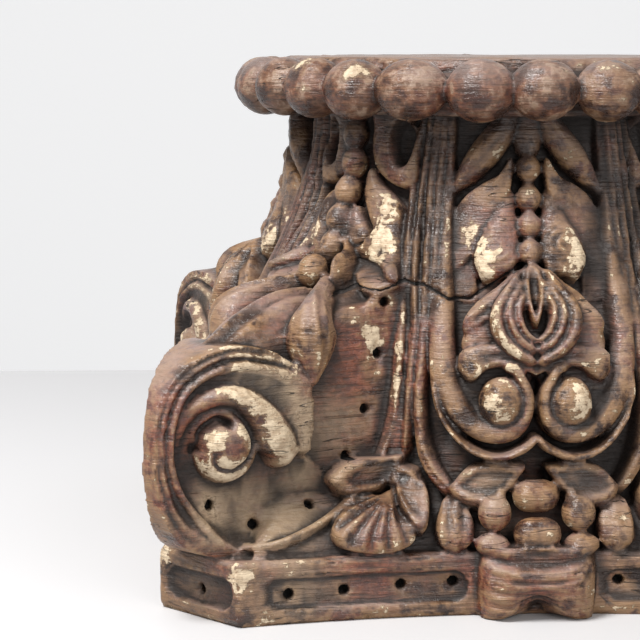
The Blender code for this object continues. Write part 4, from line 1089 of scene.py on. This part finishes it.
# painted shade: the mouths of the drilled holes near-black
cracks = g.math("MAXIMUM", cracks, g.ramp(g.attr("hole"), 2.7, 2.1))
colour = g.mix(cracks, colour, tone(18, 13, 10))
g.put(g.shader.inputs["Base Color"], colour)
rough = g.math("ADD", g.ramp(middle, 0.35, 0.65, 0.25, 0.42), g.math("MULTIPLY", chalk, 0.16))
rough = g.math("ADD", rough, g.math("MULTIPLY", dust, 0.05))
rough = g.math("ADD", rough, g.math("MULTIPLY", cavity_a, 0.30))
rough = g.math("MAXIMUM", rough, g.math("MULTIPLY", cracks, 0.9), clamp=True)
g.put(g.shader.inputs["Roughness"], rough)
g.shader.inputs["Specular IOR Level"].default_value = 0.5
height = g.math("MULTIPLY", grain, 0.55)
height = g.math("ADD", height, g.math("MULTIPLY", small, 0.45))
height = g.math("ADD", height, g.math("MULTIPLY", grain_wide, 0.6))
height = g.math("ADD", height, g.math("MULTIPLY", chalk, 0.30))
height = g.math("SUBTRACT", height, g.math("MULTIPLY", cracks, 1.2))
bump = g.tree.nodes.new("ShaderNodeBump")
bump.inputs["Strength"].default_value = 0.85
bump.inputs["Distance"].default_value = 0.0023
g.put(bump.inputs["Height"], height)
g.put(g.shader.inputs["Normal"], bump.outputs[0])
carving.data.materials.append(wood)

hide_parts("capital")
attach(carving, "root")

# ------------------------------------------------------------ floor and light
bpy.ops.mesh.primitive_plane_add(size=4.2, location=(0, -1.5, 0))
floor = bpy.context.object
floor.name = "floor"
pale = bpy.data.materials.new("pale_floor")
pale.use_nodes = True
pale.node_tree.nodes["Principled BSDF"].inputs["Base Color"].default_value = (0.57, 0.57, 0.58, 1)
pale.node_tree.nodes["Principled BSDF"].inputs["Roughness"].default_value = 0.55
floor.data.materials.append(pale)

bpy.ops.mesh.primitive_plane_add(size=9, location=(0, 3.4, 1.5), rotation=(math.pi / 2, 0, 0))
backdrop = bpy.context.object
backdrop.name = "backdrop"
glow = bpy.data.materials.new("white_backdrop")
glow.use_nodes = True
glow.node_tree.nodes["Principled BSDF"].inputs["Base Color"].default_value = (0.8, 0.8, 0.8, 1)
glow.node_tree.nodes["Principled BSDF"].inputs["Roughness"].default_value = 1.0
glow.node_tree.nodes["Principled BSDF"].inputs["Emission Color"].default_value = (0.98, 0.985, 1.0, 1)
glow.node_tree.nodes["Principled BSDF"].inputs["Emission Strength"].default_value = 0.31
backdrop.data.materials.append(glow)

world = bpy.data.worlds.new("studio")
bpy.context.scene.world = world
world.use_nodes = True
world.node_tree.nodes["Background"].inputs[0].default_value = (0.985, 0.99, 1.0, 1)
world.node_tree.nodes["Background"].inputs[1].default_value = 0.50
bpy.context.scene.view_settings.view_transform = "Standard"


def area(name, where, size, power, colour=(1, 1, 1)):
    lamp = bpy.data.lights.new(name, "AREA")
    lamp.shape = "DISK"
    lamp.size = size
    lamp.energy = power
    lamp.color = colour
    obj = bpy.data.objects.new(name, lamp)
    bpy.context.scene.collection.objects.link(obj)
    obj.location = where
    obj.rotation_euler = (Vector((0, 0, 0.12)) - Vector(where)).to_track_quat("-Z", "Y").to_euler()
    return obj


area("key", (-0.75, -0.75, 1.65), 0.65, 50, (1.0, 0.98, 0.96))
area("fill", (0.9, -1.9, 0.9), 1.4, 16)

lens = bpy.data.cameras.new("camera")
lens.sensor_width = 36
lens.lens = 36 * 2027.25 / 640
camera = bpy.data.objects.new("camera", lens)
bpy.context.scene.collection.objects.link(camera)
forward = Vector((0.0312, 0.9899, -0.1383)).normalized()
right = forward.cross(Vector((0, 0, 1))).normalized()
up = right.cross(forward)
camera.matrix_world = Matrix(((right.x, up.x, -forward.x, -0.1407), (right.y, up.y, -forward.y, -1.1655),
                              (right.z, up.z, -forward.z, 0.2906), (0, 0, 0, 1)))
bpy.context.scene.camera = camera

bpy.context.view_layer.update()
print("done", round(time.time() - T0, 1))
